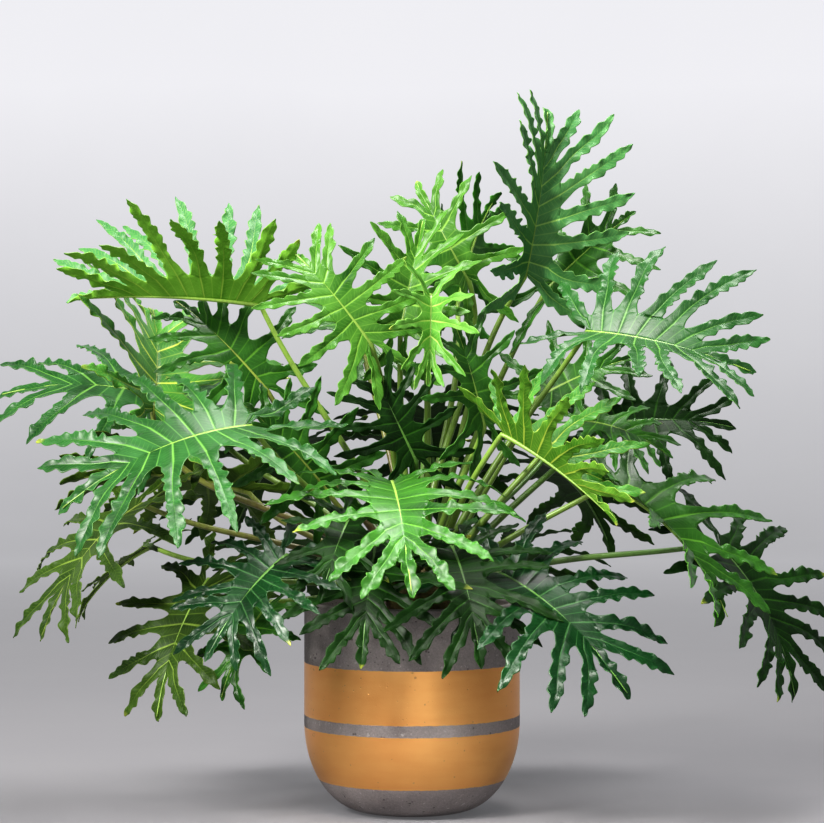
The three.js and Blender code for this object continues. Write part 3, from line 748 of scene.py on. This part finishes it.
def terminalOf(leaf):
    root = blade["lastRoot"] + blade["lastStep"]
    return {
        "side": 1,
        "angle": 0.0,
        "length": 1 - root,
        "tilt": 0.0,
        "root": root,
        "sweep": 0.0,
        "joined": blade["lastJoined"],
        "uneven": 0,
        "strap": blade["strap"],
        "pick": leaf["index"] * blade["picks"] + blade["lastPick"],
    }


def centreOf(lobe, t):
    x = lobe["root"] + lobe["length"] * (t * math.cos(lobe["angle"]) + lobe["sweep"] * t * t)
    y = lobe["side"] * lobe["length"] * t * math.sin(lobe["angle"])
    return np.stack([x, y * np.ones_like(x)], -1)


def acrossOf(lobe, t):
    dx = math.cos(lobe["angle"]) + 2 * lobe["sweep"] * t
    dy = math.sin(lobe["angle"]) * np.ones_like(dx)
    size = np.hypot(dx, dy)
    return np.stack([dy / size, -lobe["side"] * dx / size], -1)


def coarseWidth(lobe, place, edge):
    shift = math.pi * lobe["uneven"] if edge < 0 else 0
    swing = np.cos(2 * math.pi * (place - blade["opening"]) / blade["toothStep"] + shift)
    point = (1 - place ** blade["pointPower"]) ** blade["pointRound"]
    taper = (blade["narrow"] + blade["widen"] * place) * point
    return lobe["strap"] * taper * (1 + blade["tooth"] * swing)


# From the flat layout to the leaf's place: along the arched midrib, folded up on both sides of it
def bent(leaf, x, y, lift):
    x, y, lift = np.broadcast_arrays(x, y, lift)
    u = np.clip(x, 0, 1)[..., None]
    base, middle, tip = leaf["base"], leaf["middle"], leaf["tip"]
    slope = 2 * (1 - u) * (middle - base) + 2 * u * (tip - middle)
    tangent = slope / np.linalg.norm(slope, axis=-1, keepdims=True)
    up = leaf["face"] - (tangent @ leaf["face"])[..., None] * tangent
    up /= np.linalg.norm(up, axis=-1, keepdims=True)
    left = np.cross(up, tangent)
    place = (1 - u) ** 2 * base + 2 * u * (1 - u) * middle + u**2 * tip + slope * (x[..., None] - u)
    reach = np.abs(y) * leaf["length"]
    rise = leaf["fold"] + 0.5 * leaf["curl"] * np.abs(y)
    steep = leaf["fold"] + leaf["curl"] * np.abs(y)
    aside = np.sign(y) * (reach * np.cos(rise) - lift * np.sin(steep))
    above = reach * np.sin(rise) + lift * np.cos(steep)
    return place + left * aside[..., None] + up * above[..., None]


def outerEdge(lobe):
    t = np.array(lobe["joined"])
    x, y = centreOf(lobe, t) - acrossOf(lobe, t) * coarseWidth(lobe, 0.0, -1)
    return np.array([x * blade["earBack"], lobe["side"] * max(abs(y), blade["earAside"])])


def sinusOf(lobe, following):
    a = centreOf(lobe, np.array(lobe["joined"]))
    b = centreOf(following, np.array(following["joined"]))
    y = (a[1] + b[1]) / 2 if following["side"] == lobe["side"] else a[1] / 2
    return np.array([(a[0] + b[0]) / 2, y])


def tipOf(leaf, lobe, bend, reach):
    start = centreOf(lobe, np.array(lobe["joined"]))
    t = np.array(lobe["joined"] + (1 - lobe["joined"]) * reach)
    away = centreOf(lobe, t) - start
    turn = lobe["tilt"] + math.radians(bend)
    flat = start + away * math.cos(turn)
    return bent(leaf, flat[0], flat[1], np.linalg.norm(away) * math.sin(turn) * leaf["length"])


def treeOf(node):
    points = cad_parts[node].data.vertices
    tree = kdtree.KDTree(len(points))
    for k, point in enumerate(points):
        tree.insert(point.co, k)
    tree.balance()
    return tree


# The solids' lobes were bent and shortened until they were clear of each other. The pair of bend
# and reach whose tip lies closest to a corner of the solid is the one that was taken there.
def settle(leaf, lobe, tree):
    options = [(bend, reach) for reach in reachTries for bend in bendTries] + [lastTry]
    misses = [tree.find(Vector(tipOf(leaf, lobe, *option) * mm))[2] for option in options]
    best = int(np.argmin(misses))
    lobe["bend"], lobe["reach"] = math.radians(options[best][0]), options[best][1]
    return misses[best]


# Where the stalks leave the crown, pushed apart until there is room for each
def rootDirections(leaves):
    centre = np.array(crownShape["place"], float)
    directions = [unit(leaf["base"] - centre) for leaf in leaves]
    least = stalk["spacing"] / crownShape["radius"]
    for _ in range(stalk["rounds"]):
        for i in range(len(directions)):
            for j in range(i + 1, len(directions)):
                apart = directions[j] - directions[i]
                far = math.sqrt(apart @ apart)
                if far < least:
                    apart *= (least - far) / 2 / far
                    directions[i] = unit(directions[i] - apart)
                    directions[j] = unit(directions[j] + apart)
    return directions


def stalkCorners(leaf, direction, swing):
    root = np.array(crownShape["place"]) + direction * crownShape["radius"] * stalk["start"]
    line = leaf["base"] - root
    length = np.linalg.norm(line)
    aside = unit(np.cross([0, 0, 1.0], line)) * swing / 100 * length
    tangent = unit(leaf["middle"] - leaf["base"])
    arrival = unit(unit(line) + tangent * stalk["intoRib"] + leaf["face"] * stalk["fromUnder"])
    first = root + direction * stalk["outward"] * length + aside
    first[2] += stalk["lift"] * length
    last = leaf["base"] - arrival * stalk["approach"] * length + aside
    last = last - leaf["face"] * stalk["sag"] * length
    return [root, first, last, leaf["base"]]


def onPath(corners, shares):
    a, b, c, d = corners
    s = np.asarray(shares)[:, None]
    return (1 - s) ** 3 * a + 3 * s * (1 - s) ** 2 * b + 3 * s * s * (1 - s) * c + s**3 * d


def settleStalk(leaf, direction, tree):
    shares = np.arange(1, 5) / 5
    found = []
    for swing in swingTries:
        places = onPath(stalkCorners(leaf, direction, swing), shares)
        found.append(sum(tree.find(Vector(place * mm))[2] for place in places))
    return stalkCorners(leaf, direction, swingTries[int(np.argmin(found))]), min(found) / 4


# Waves of the margin, uneven in length and height
def waves(distance, seed):
    shape = frillShape
    step = shape["step"] * spread(shape["stepSpread"], seed, "step")
    phase = 2 * math.pi * (distance / step + chance(seed, "shift"))
    swell = shape["swell"] + shape["swellMore"] * np.sin(distance * shape["swellTurn"] + seed)
    shift = shape["slowShift"] * chance(seed, "slow")
    slow = shape["slow"] * np.sin(phase * shape["slowTurn"] + shift)
    return (np.sin(phase + shape["sharp"] * np.sin(phase)) + slow) * swell


# Uneven teeth of the edge, each leaning towards the tip with a sharp notch behind it
def teeth(distance, seed):
    shape = toothShape
    step = shape["step"] * spread(shape["stepSpread"], seed, "step")
    shift = shape["wanderShift"] * chance(seed, "slow")
    wander = shape["wander"] * np.sin(distance * shape["wanderTurn"] + shift)
    phase = distance / step + chance(seed, "shift") + wander
    number = np.floor(phase)
    part = phase - number
    size = shape["least"] + shape["more"] * np.abs(np.sin(number * shape["mixing"] + seed))
    lean = shape["lean"]
    back = (part / lean) ** shape["backPower"]
    notch = ((1 - part) / (1 - lean)) ** shape["notchPower"]
    return 2 * size * np.where(part < lean, back, notch) - shape["middle"]


# Half a lobe's width with its teeth, below 0 on one side of its rib and above 0 on the other
def fineWidth(lobe, p, e, distance):
    shift = np.where(e < 0, math.pi * lobe["uneven"], 0)
    swing = np.cos(2 * math.pi * (p - blade["opening"]) / blade["toothStep"] + shift)
    seeds = [lobe["pick"] + seed for seed in toothShape["seeds"]]
    tooth = np.where(e < 0, *(teeth(distance, seed) for seed in seeds))
    point = (1 - p ** crisp["pointPower"]) ** crisp["pointRound"]
    taper = (blade["narrow"] + blade["widen"] * p) * point
    grow = np.clip(p / toothShape["grow"], 0, 1)
    return lobe["strap"] * taper * (1 + crisp["bulge"] * swing + toothShape["size"] * tooth * grow) * e


def frillLift(lobe, p, e, distance):
    shape = frillShape
    seeds = [lobe["pick"] + seed for seed in shape["seeds"]]
    frill = np.where(e < 0, *(waves(distance, seed) for seed in seeds))
    frill = frill * shape["size"] * spread(shape["sizeSpread"], lobe["pick"], "frill")
    frill = frill * np.abs(e) ** shape["power"]
    return frill * np.clip(p * shape["grow"], 0, 1) * (1 - shape["fade"] * p**3)


# Puckers between the side veins, and the crease over the rib, in millimetres
def reliefLift(run, e, out):
    total = run[-1, 0]
    puff = np.sin(2 * math.pi * (run / crisp["puckerStep"] - out * crisp["puckerSlant"]))
    puff = puff * out * (1 - out) * 4 * crisp["pucker"]
    crease = -crisp["crease"] * np.exp(-((e / crisp["creaseWidth"]) ** 2)) * (1 - (run / total) ** 2)
    fade = np.clip(np.arange(len(run))[:, None] / crisp["calmRows"], 0, 1)
    left = np.clip((total - run) / total, 0, 1)
    return (puff + crease) * fade * (crisp["reliefAtTip"] + (1 - crisp["reliefAtTip"]) * left)


# The flat middle surface of one lobe and of the web behind it, as rows from the midrib to the tip
def lobeRows(leaf, lobe, backRib, frontRib, backFlat, frontFlat):
    length, pick = leaf["length"], lobe["pick"]
    webRows, lobeSteps = crisp["fullSteps"] if leaf["front"] else crisp["fewSteps"]
    columns = fullColumns if leaf["front"] else fewColumns
    e = columns[None, :]
    share = ((e + 1) / 2)[..., None]
    ribLine = backRib * (1 - share) + frontRib * share
    sinusLine = backFlat * (1 - share) + frontFlat * share
    w = np.linspace(0, 1, webRows + 1)[:-1, None, None]
    web = ribLine * (1 - w) + sinusLine * w
    place = 1 - (1 - np.linspace(0, 1, lobeSteps + 1)[:-1]) ** crisp["rowPower"]
    p = place[:, None]
    start = centreOf(lobe, np.array(lobe["joined"]))
    t = lobe["joined"] + (1 - lobe["joined"]) * place * lobe["reach"]
    centre, across = centreOf(lobe, t), acrossOf(lobe, t)
    away = centre - start
    far = np.hypot(away[:, 0], away[:, 1])[:, None]
    distance = far * length
    half = fineWidth(lobe, p, e, distance)
    turned = lobe["tilt"] + lobe["bend"]
    turn = (turned * (crisp["turnAtRoot"] + (1 - crisp["turnAtRoot"]) * place))[:, None]
    sway = leaf["ease"] * crisp["sway"] * (chance(pick, "sway") - 0.5)
    sway = sway * np.sin(2 * math.pi * p * spread(crisp["swayWaves"], pick, "swayWaves"))
    flat = start + away[:, None, :] * np.cos(turn)[..., None]
    flat = flat + across[:, None, :] * (half + sway)[..., None]
    hang = leaf["ease"] * crisp["droop"] * chance(pick, "droop")
    droop = -hang * p**2 * distance / length
    keel = crisp["keel"] * spread(crisp["keelSpread"], pick, "keel") * np.abs(half) * (1 - p**4)
    lift = far * np.sin(turn) + frillLift(lobe, p, e, distance) + droop + keel
    opened = np.clip(p / blade["opening"], 0, 1)
    opened = opened * opened * (3 - 2 * opened) * 0.5 + opened * 0.5
    strip = sinusLine + (flat - sinusLine) * opened[..., None]
    xy = np.concatenate([web, strip])
    lift = np.concatenate([np.zeros((webRows, columns.size)), lift * opened * length])
    webLength = np.linalg.norm((sinusLine - ribLine)[0, columns.size // 2]) * length
    run = np.concatenate([np.linspace(0, webLength, webRows + 1)[:-1, None], webLength + distance])
    out = np.abs(e) * np.ones_like(run)
    points = bent(leaf, xy[..., 0], xy[..., 1], lift + reliefLift(run, e, out))
    last = centreOf(lobe, np.array(lobe["joined"] + (1 - lobe["joined"]) * lobe["reach"]))
    ahead = last - start
    tipFlat = start + ahead * math.cos(turned) + across[-1] * sway[-1]
    tipFar = np.linalg.norm(ahead)
    tipLift = (tipFar * math.sin(turned) - hang * tipFar) * length
    tip = bent(leaf, tipFlat[0], tipFlat[1], tipLift)
    gone = run / run[-1, 0]
    vein = np.exp(-((e / crisp["veinWidth"]) ** 2)) * np.clip(crisp["veinReach"] - gone, 0, 1)
    even = np.ones_like(vein)
    return {
        "points": points, "tip": tip, "vein": vein, "run": run * even, "out": out, "share": gone * even,
    }


# One lobe's points with their numbers for the leaf pattern, and its faces, counted from first
def lobeGrid(lobe, rows, first, flip):
    points = rows["points"].reshape(-1, 3)
    across = rows["points"].shape[1]
    data = {key: rows[key].ravel() for key in ("vein", "run", "out", "share")}
    data["points"] = np.concatenate([points, rows["tip"][None]])
    for key, atTip in (("vein", 0.1), ("run", rows["run"].max()), ("out", 0), ("share", 1)):
        data[key] = np.append(data[key], atTip)
    data["pick"] = np.full(len(data["points"]), chance(lobe["pick"], "shade"))
    tip = first + len(points)
    faces = [
        (a, a + 1, a + 1 + across, a + across)
        for row in range(first, tip - across, across)
        for a in range(row, row + across - 1)
    ]
    faces += [(a, a + 1, tip) for a in range(tip - across, tip - 1)]
    return data, [face[::-1] for face in faces] if flip else faces


# All lobes of a blade in one, side by side along the midrib and the last one at its end
def bladeSurface(leaf, lobes):
    terminal = lobes[-1]
    roots = [lobe["root"] for lobe in lobes if lobe["side"] > 0]
    rib = [np.array([(a + b) / 2, 0.0]) for a, b in zip(roots, roots[1:])]
    halfBase = blade["baseWidth"] / 2 / leaf["length"]
    grids, ends = [], {}
    for side in (1, -1):
        row = [lobe for lobe in lobes[:-1] if lobe["side"] == side] + [terminal]
        backFlat = outerEdge(row[0])
        backRib = np.array([0.0, side * halfBase])
        for i, lobe in enumerate(row[:-1]):
            frontFlat = sinusOf(lobe, row[i + 1])
            if row[i + 1] is terminal:
                frontFlat[1] = side * abs(frontFlat[1])
            rows = lobeRows(leaf, lobe, backRib, rib[i], backFlat, frontFlat)
            grids.append((lobe, rows, side < 0))
            backFlat, backRib = frontFlat, rib[i]
        ends[side] = backFlat
    rows = lobeRows(leaf, terminal, rib[-1], rib[-1], ends[1], ends[-1])
    grids.append((terminal, rows, False))
    parts, faces, first = [], [], 0
    for lobe, rows, flip in grids:
        data, made = lobeGrid(lobe, rows, first, flip)
        parts.append(data)
        faces += made
        first += len(data["points"])
    merged = {key: np.concatenate([part[key] for part in parts]) for key in parts[0]}
    return merged, faces


# Lobes share the points of their joints, to the nearest hundredth of a millimetre
def weld(merged, faces):
    keys = np.round(merged["points"] / 0.01).astype(np.int64)
    _, first, order = np.unique(keys, axis=0, return_index=True, return_inverse=True)
    order = order.ravel()
    welded = {key: value[first] for key, value in merged.items()}
    made = []
    for face in faces:
        corners = []
        for k in face:
            if order[k] not in corners:
                corners.append(int(order[k]))
        if len(corners) > 2:
            made.append(tuple(corners))
    return welded, made


# The upper face, the underside and the rim between them, numbered 0, 1 and 0 for their materials
def thicken(welded, faces):
    points = welded["points"]
    normals = np.zeros_like(points)
    for size in (3, 4):
        rows = np.array([face for face in faces if len(face) == size])
        corners = [points[rows[:, k]] for k in range(size)]
        if size == 3:
            cross = np.cross(corners[1] - corners[0], corners[2] - corners[0])
        else:
            cross = np.cross(corners[2] - corners[0], corners[3] - corners[1])
        for k in range(size):
            np.add.at(normals, rows[:, k], cross)
    normals /= np.maximum(np.linalg.norm(normals, axis=1, keepdims=True), 1e-9)
    half = blade["thickness"] / 2
    count = len(points)
    solid = np.concatenate([points + normals * half, points - normals * half])
    edges = set()
    for face in faces:
        edges.update(zip(face, face[1:] + face[:1]))
    under = [tuple(k + count for k in face[::-1]) for face in faces]
    rim = [(b, a, a + count, b + count) for a, b in edges if (b, a) not in edges]
    kinds = [0] * len(faces) + [1] * len(under) + [0] * len(rim)
    return solid, faces + under + rim, kinds


# A tube with a shallow groove along its upper side
def tubeMesh(centres, radii, up, sides):
    tangents = np.gradient(centres, axis=0)
    tangents /= np.linalg.norm(tangents, axis=1, keepdims=True)
    rows = []
    turn = turnsOf(sides)
    fromTop = np.angle(np.exp(1j * (turn - math.pi / 2)))
    groove = 1 - stalk["groove"] * np.exp(-((fromTop / stalk["grooveWidth"]) ** 2))
    for k in range(len(centres) - 1, -1, -1):
        up = unit(up - tangents[k] * (up @ tangents[k]))
        left = np.cross(up, tangents[k])
        around = np.cos(turn)[:, None] * -left + np.sin(turn)[:, None] * up
        rows.insert(0, centres[k] + radii[k] * groove[:, None] * around)
    return np.concatenate(rows), closedFaces(len(centres), sides)


# The stalk from where it leaves the crown, and the midrib under the blade in one piece with it
def stalkTube(leaf, corners):
    fine = np.linspace(*stalk["crownShares"])
    away = np.linalg.norm(onPath(corners, fine) - crownShape["place"], axis=1)
    leaves = away > crownShape["radius"] - stalk["seat"]
    shares = np.linspace(fine[leaves][0], 1, stalk["steps"] + 1)
    radii = stalk["rootRadius"] + (stalk["tipRadius"] - stalk["rootRadius"]) * shares
    radii = radii * (1 + stalk["rootSwell"] * np.exp(-shares * stalk["swellFade"]))
    u = np.linspace(0, stalk["ribEnd"], stalk["ribSteps"] + 1)[1:]
    narrowing = (1 - u) ** stalk["ribTaper"]
    ribRadii = stalk["endRadius"] + (stalk["tipRadius"] - stalk["endRadius"]) * narrowing
    rib = bent(leaf, u, 0 * u, -stalk["sunk"] * ribRadii - stalk["ribGap"])
    sinking = stalk["sunk"] * radii * shares ** stalk["sinkPower"]
    path = onPath(corners, shares) - leaf["face"] * sinking[:, None]
    centres = np.concatenate([path, rib])
    radii = np.concatenate([radii, ribRadii])
    points, faces = tubeMesh(centres, radii, leaf["face"], stalk["sides"])
    run = np.repeat(np.concatenate([shares, 1 + u]), stalk["sides"])
    return points, faces, run


# Leaf colours. All tones share one pattern of veins, panels between them, patches and grain.
# Several tones are lit and shaded copies of the same green: light and shade are painted in for
# where each leaf sits. A row is the upper side's deep and light green, the underside's, the veins'
# colour, how much the veins show, and the upper side's roughness and shine.
toneTable = {
    # lit: the underside is painted bright, painted light shining through the leaf from behind
    "lit": ((36, 98, 48), (88, 146, 80), (90, 150, 40), (138, 198, 72), (184, 220, 92), 0.8, 0.45, 0.3),
    "cool": ((36, 98, 48), (88, 146, 80), (48, 106, 28), (90, 146, 54), (160, 204, 100), 0.75, 0.42, 0.3),
    # painted sunlight: a lighter yellow-green copy of the leaf colours for leaves that catch the light
    "sunlit": ((26, 80, 12), (86, 141, 48), (60, 118, 18), (106, 162, 42), (146, 196, 80), 0.75, 0.38, 0.3),
    "young": ((54, 119, 20), (110, 170, 70), (70, 132, 26), (122, 176, 60), (176, 206, 100), 0.8, 0.45, 0.3),
    "curled": ((26, 84, 20), (76, 142, 52), (50, 100, 22), (96, 142, 46), (192, 208, 84), 0.85, 0.42, 0.3),
    "glossy": ((9, 50, 12), (46, 100, 44), (34, 92, 20), (62, 128, 34), (116, 174, 76), 0.6, 0.39, 0.31),
    # painted shade: a darker copy of the glossy green for the low front leaves that lie in shade
    "shadedGlossy": ((2, 27, 9), (11, 58, 20), (16, 54, 14), (44, 92, 28), (84, 136, 76), 0.4, 0.34, 0.31),
    "mid": ((10, 51, 7), (56, 111, 34), (30, 80, 9), (62, 120, 20), (104, 164, 54), 0.55, 0.37, 0.3),
    # olive: the low leaves' own olive green, darkened further as painted shade on their shadow side
    "olive": ((17, 41, 6), (58, 84, 24), (34, 66, 10), (76, 106, 28), (136, 164, 66), 0.55, 0.45, 0.15),
    # dark: painted shade, the darkest copy, for leaves in the shade of the others
    "dark": ((6, 22, 5), (26, 62, 16), (18, 44, 8), (46, 84, 22), (60, 112, 34), 0.45, 0.42, 0.15),
}
# Colour at the crown, colour near the blade, and of the streaks
stalkTones = {
    "green": ((84, 112, 40), (136, 170, 72), (66, 86, 34)),
    # painted shade: darker stalk colours for the leaves that lie in shade
    "inShade": ((74, 96, 36), (88, 132, 56), (56, 76, 30)),
    "reddish": ((92, 66, 48), (132, 150, 62), (70, 40, 36)),
}
stalkLook = {"rough": 0.38, "bump": 0.25, "relief": 0.0008}
underLook = {"veins": 0.75, "rough": 0.55, "bump": 0.6, "shine": 0.15}
leafLook = {
    "bump": 0.25,
    "relief": 0.0006,
    "glossSpread": 0.16,
    "veinStep": 5.5,  # between side veins
    "veinSlant": -9.0,
    "veinWander": 4.0,
    "oldTip": rgb(176, 184, 72),
}


def leafGroup():
    inputs = (
        ("Deep", "color"), ("Light", "color"), ("Vein", "color"), ("Veins", "value"), ("Gloss", "value"),
    )
    outputs = (("Color", "color"), ("Roughness", "value"), ("Height", "value"))
    tree, given, made = newGroup("leafPattern", inputs, outputs)
    look = leafLook
    place = placeNode(tree)
    numbers = ("vein", "run", "out", "share", "pick")
    vein, run, out, share, pick = [attributeNode(tree, name) for name in numbers]
    patches = noiseNode(tree, place, 26, 4, 0.6)
    grain = noiseNode(tree, place, 340, 3, 0.6)
    slanted = times(tree, out, look["veinSlant"], run)
    wander = times(tree, noiseNode(tree, place, 60, 2, 0.5), look["veinWander"], slanted)
    wave = mathNode(tree, "FRACT", mathNode(tree, "DIVIDE", wander, look["veinStep"]))
    line = mathNode(tree, "ABSOLUTE", minus(tree, wave, 0.5))
    sideVein = rangeNode(tree, line, 0.0, 0.1, 1, 0)
    sideVein = times(tree, sideVein, rangeNode(tree, out, 0.55, 0.95, 1, 0))
    tone = times(tree, patches, 1.1, times(tree, grain, 0.22))
    tone = times(tree, pick, 0.3, times(tree, out, 0.14, tone))
    colour = mixNode(tree, rangeNode(tree, tone, 0.5, 1.25), given["Deep"], given["Light"])
    faint = times(tree, times(tree, sideVein, 0.3), given["Veins"])
    strong = times(tree, rangeNode(tree, vein, 0.3, 0.8), given["Veins"])
    edge = times(tree, rangeNode(tree, out, 0.93, 1.0), 0.35)
    for mask in (faint, strong, edge):
        colour = mixNode(tree, mask, colour, given["Vein"])
    old = times(tree, rangeNode(tree, share, 0.92, 1.0, 0, 0.8), rangeNode(tree, pick, 0.93, 0.97))
    height = times(tree, sideVein, -0.3, times(tree, grain, 0.35))
    results = {
        "Color": mixNode(tree, old, colour, look["oldTip"]),
        "Roughness": times(tree, patches, look["glossSpread"], given["Gloss"]),
        "Height": times(tree, rangeNode(tree, vein, 0.2, 0.9), -0.8, height),
    }
    give(tree, made, results)
    return tree


leafPattern = leafGroup()


def leafMaterial(name, deep, light, vein, veins, rough, bump, shine):
    material, tree, shader = newMaterial(name)
    gloss = rough - leafLook["glossSpread"] / 2
    values = {"Deep": rgb(*deep), "Light": rgb(*light), "Vein": rgb(*vein)}
    values.update({"Veins": veins, "Gloss": gloss})
    pattern = makeNode(tree, "ShaderNodeGroup", values, node_tree=leafPattern).outputs
    finish = {"Base Color": pattern["Color"], "Roughness": pattern["Roughness"]}
    give(tree, shader.inputs, {**finish, "Specular IOR Level": shine})
    bumpNode(tree, shader, pattern["Height"], bump, leafLook["relief"])
    return material


def stalkMaterial(name, low, high, streak):
    low, high, streak = rgb(*low), rgb(*high), rgb(*streak)
    material, tree, shader = newMaterial(name)
    place = placeNode(tree)
    streaks = noiseNode(tree, stretchNode(tree, place, (3, 3, 0.6)), 60, 4, 0.6)
    spots = noiseNode(tree, place, 400, 2, 0.5)
    colour = mixNode(tree, rangeNode(tree, attributeNode(tree, "run"), 0.1, 1.1), low, high)
    colour = mixNode(tree, rangeNode(tree, streaks, 0.5, 0.75, 0, 0.55), colour, streak)
    colour = mixNode(tree, rangeNode(tree, spots, 0.62, 0.72, 0, 0.4), colour, streak)
    finishPlain(tree, shader, colour, streaks, stalkLook)
    return material


def makeLeafMaterials():
    made = {}
    for tone, row in toneTable.items():
        deep, light, underDeep, underLight, vein, veins, rough, shine = row
        under = underLook
        faint = veins * under["veins"]
        finish = (under["rough"], under["bump"], under["shine"])
        made[tone] = (
            leafMaterial(tone + "Leaf", deep, light, vein, veins, rough, leafLook["bump"], shine),
            leafMaterial(tone + "Underside", underDeep, underLight, vein, faint, *finish),
        )
    return made


leafMaterials = makeLeafMaterials()
stalkMaterials = {tone: stalkMaterial(tone + "Stalk", *row) for tone, row in stalkTones.items()}
sure = {"lobe": 1.5, "stalk": 8}  # how far from the solid a lobe's tip or a stalk may lie unreported


def stalkMaterialOf(leaf):
    # Stalks of the leaves in shade take the darker colours, painted shade
    shaded = "inShade" if leaf["tone"] in ("dark", "shadedGlossy") else "green"
    return stalkMaterials["reddish" if leaf["name"] in reddishStalks else shaded]


def makeLeaf(leaf, direction):
    node = "leaf_" + leaf["name"]
    tree = treeOf(node)
    lobes = [lobeOf(leaf, side, i) for side in (1, -1) for i in range(leaf["pairs"])]
    lobes.append(terminalOf(leaf))
    misses = [settle(leaf, lobe, tree) / mm for lobe in lobes]
    corners, stalkMiss = settleStalk(leaf, direction, tree)
    if max(misses) > sure["lobe"] or stalkMiss / mm > sure["stalk"]:
        print("unsure", leaf["name"], [round(miss, 1) for miss in misses], round(stalkMiss / mm, 1))
    merged, faces = weld(*bladeSurface(leaf, lobes))
    solid, bladeFaces, kinds = thicken(merged, faces)
    tubePoints, tubeFaces, tubeRun = stalkTube(leaf, corners)
    shift = len(solid)
    points = np.concatenate([solid, tubePoints])
    faces = bladeFaces + [tuple(k + shift for k in face) for face in tubeFaces]
    kinds = kinds + [2] * len(tubeFaces)
    bare = np.zeros(len(tubePoints))
    keys = ("vein", "out", "share", "pick")
    values = {key: np.concatenate([merged[key], merged[key], bare]) for key in keys}
    values["run"] = np.concatenate([merged["run"], merged["run"], tubeRun])
    materials = [*leafMaterials[leaf["tone"]], stalkMaterialOf(leaf)]
    made = addObject("frond_" + leaf["name"], points, faces, materials, True, kinds, values)
    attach(made, "root")
    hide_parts(node)
    return max(misses)


def makeLeaves():
    leaves = [leafOf(index, row) for index, row in enumerate(leafTable)]
    worst = max(makeLeaf(leaf, direction) for leaf, direction in zip(leaves, rootDirections(leaves)))
    print("made", len(leaves), "leaves, worst miss", round(worst, 2), "mm")


makeLeaves()

# Floor, light and camera

stageShape = {"radius": 5600, "bend": 1400, "bendSteps": 16, "top": 8000, "sides": 48}
stageLook = {
    "base": (rgb(100, 99, 103), rgb(105, 104, 107)),
    "lowGlow": (0.08, 0.08, 0.083, 1),
    "nearGlow": (0.22, 0.22, 0.226, 1),
    "midGlow": (0.32, 0.32, 0.33, 1),
    "highGlow": (0.66, 0.66, 0.685, 1),
    "rise": (0.1, 1.9),  # metres of height over which the glow grows
    "depth": (0.0, 5.5),  # metres behind the plant over which it does
}
middle = (0, 0, 0.5)
# name, place, what it points at, size, watts, colour, spread in degrees
lightTable = [
    ("windowLight", (-1.9, -1.9, 2.3), middle, (0.7, 0.9), 192, (1, 0.975, 0.93), 180),
    ("topLight", (0.3, 0.1, 2.6), middle, (1.0, 0.8), 64, (1, 0.985, 0.96), 180),
    ("frontLight", (0.75, -3.9, 0.4), (0, 0, 0.2), (1.3, 1.5), 13, (1, 0.98, 0.95), 180),
    ("fillLight", (2.3, -2.7, 0.9), middle, (2.4, 1.8), 5, (1, 0.99, 0.97), 180),
    ("floorLight", (0.04, -1.0, 1.2), (0.03, -0.5, 0), (0.4, 0.4), 4.5, (1, 0.97, 0.93), 55),
]
studioAir = {"Color": (0.86, 0.86, 0.84, 1), "Strength": 0.04}
cameraShape = {"place": (0, -3.3, 0.517), "sensor": 36, "lens": 110.9, "near": 0.1, "far": 60}


# The sweep glows as painted light standing in for the room: dim low down and in front of the plant, brighter
# higher up and further behind it
def stageMaterial():
    look = stageLook
    material, tree, shader = newMaterial("glowingSweep")
    place = placeNode(tree)
    clouds = noiseNode(tree, place, 1.1, 5, 0.6)
    axes = axesNode(tree, place)
    rise = rangeNode(tree, times(tree, clouds, 0.15, axes[2]), *look["rise"])
    near = mixNode(tree, rise, look["lowGlow"], look["nearGlow"])
    far = mixNode(tree, rise, look["midGlow"], look["highGlow"])
    finish = {
        "Base Color": mixNode(tree, rangeNode(tree, clouds, 0.3, 0.7), *look["base"]),
        "Roughness": 0.9,
        "Emission Color": mixNode(tree, rangeNode(tree, axes[1], *look["depth"]), near, far),
        "Emission Strength": 1,
    }
    give(tree, shader.inputs, finish)
    material.cycles.emission_sampling = "NONE"
    return material


# A round floor that sweeps up into a wall on all sides
def makeStage():
    shape = stageShape
    bend, radius, sides = shape["bend"], shape["radius"], shape["sides"]
    turns = np.radians(np.linspace(0, 90, shape["bendSteps"]))
    profile = [(radius + bend * math.sin(t), bend - bend * math.cos(t)) for t in turns]
    profile.append((radius + bend, shape["top"]))
    faces = [tuple(range(sides))] + [face[::-1] for face in ringFaces(len(profile), sides)]
    floor = addObject("floor", turnedPoints(profile, sides), faces, [stageMaterial()])


def makeLights():
    for name, place, target, size, power, colour, spread in lightTable:
        light = bpy.data.lights.new(name, "AREA")
        light.shape = "RECTANGLE"
        light.size, light.size_y = size
        light.energy = power
        light.spread = math.radians(spread)
        light.color = colour
        made = bpy.data.objects.new(name, light)
        made.location = place
        made.rotation_euler = (Vector(target) - Vector(place)).to_track_quat("-Z", "Y").to_euler()
        scene.collection.objects.link(made)
    world = bpy.data.worlds.new("studio")
    world.use_nodes = True
    give(world.node_tree, world.node_tree.nodes["Background"].inputs, studioAir)
    scene.world = world


def makeCamera():
    shape = cameraShape
    camera = bpy.data.cameras.new("camera")
    camera.sensor_width = shape["sensor"]
    camera.lens = shape["lens"]
    camera.clip_start, camera.clip_end = shape["near"], shape["far"]
    made = bpy.data.objects.new("camera", camera)
    made.location = shape["place"]
    made.rotation_euler = (math.radians(90), 0, 0)
    scene.collection.objects.link(made)
    scene.camera = made


makeStage()
makeLights()
makeCamera()
scene.view_settings.view_transform = "Standard"
scene.view_settings.look = "Medium High Contrast"
print("made the stage, lights and camera")
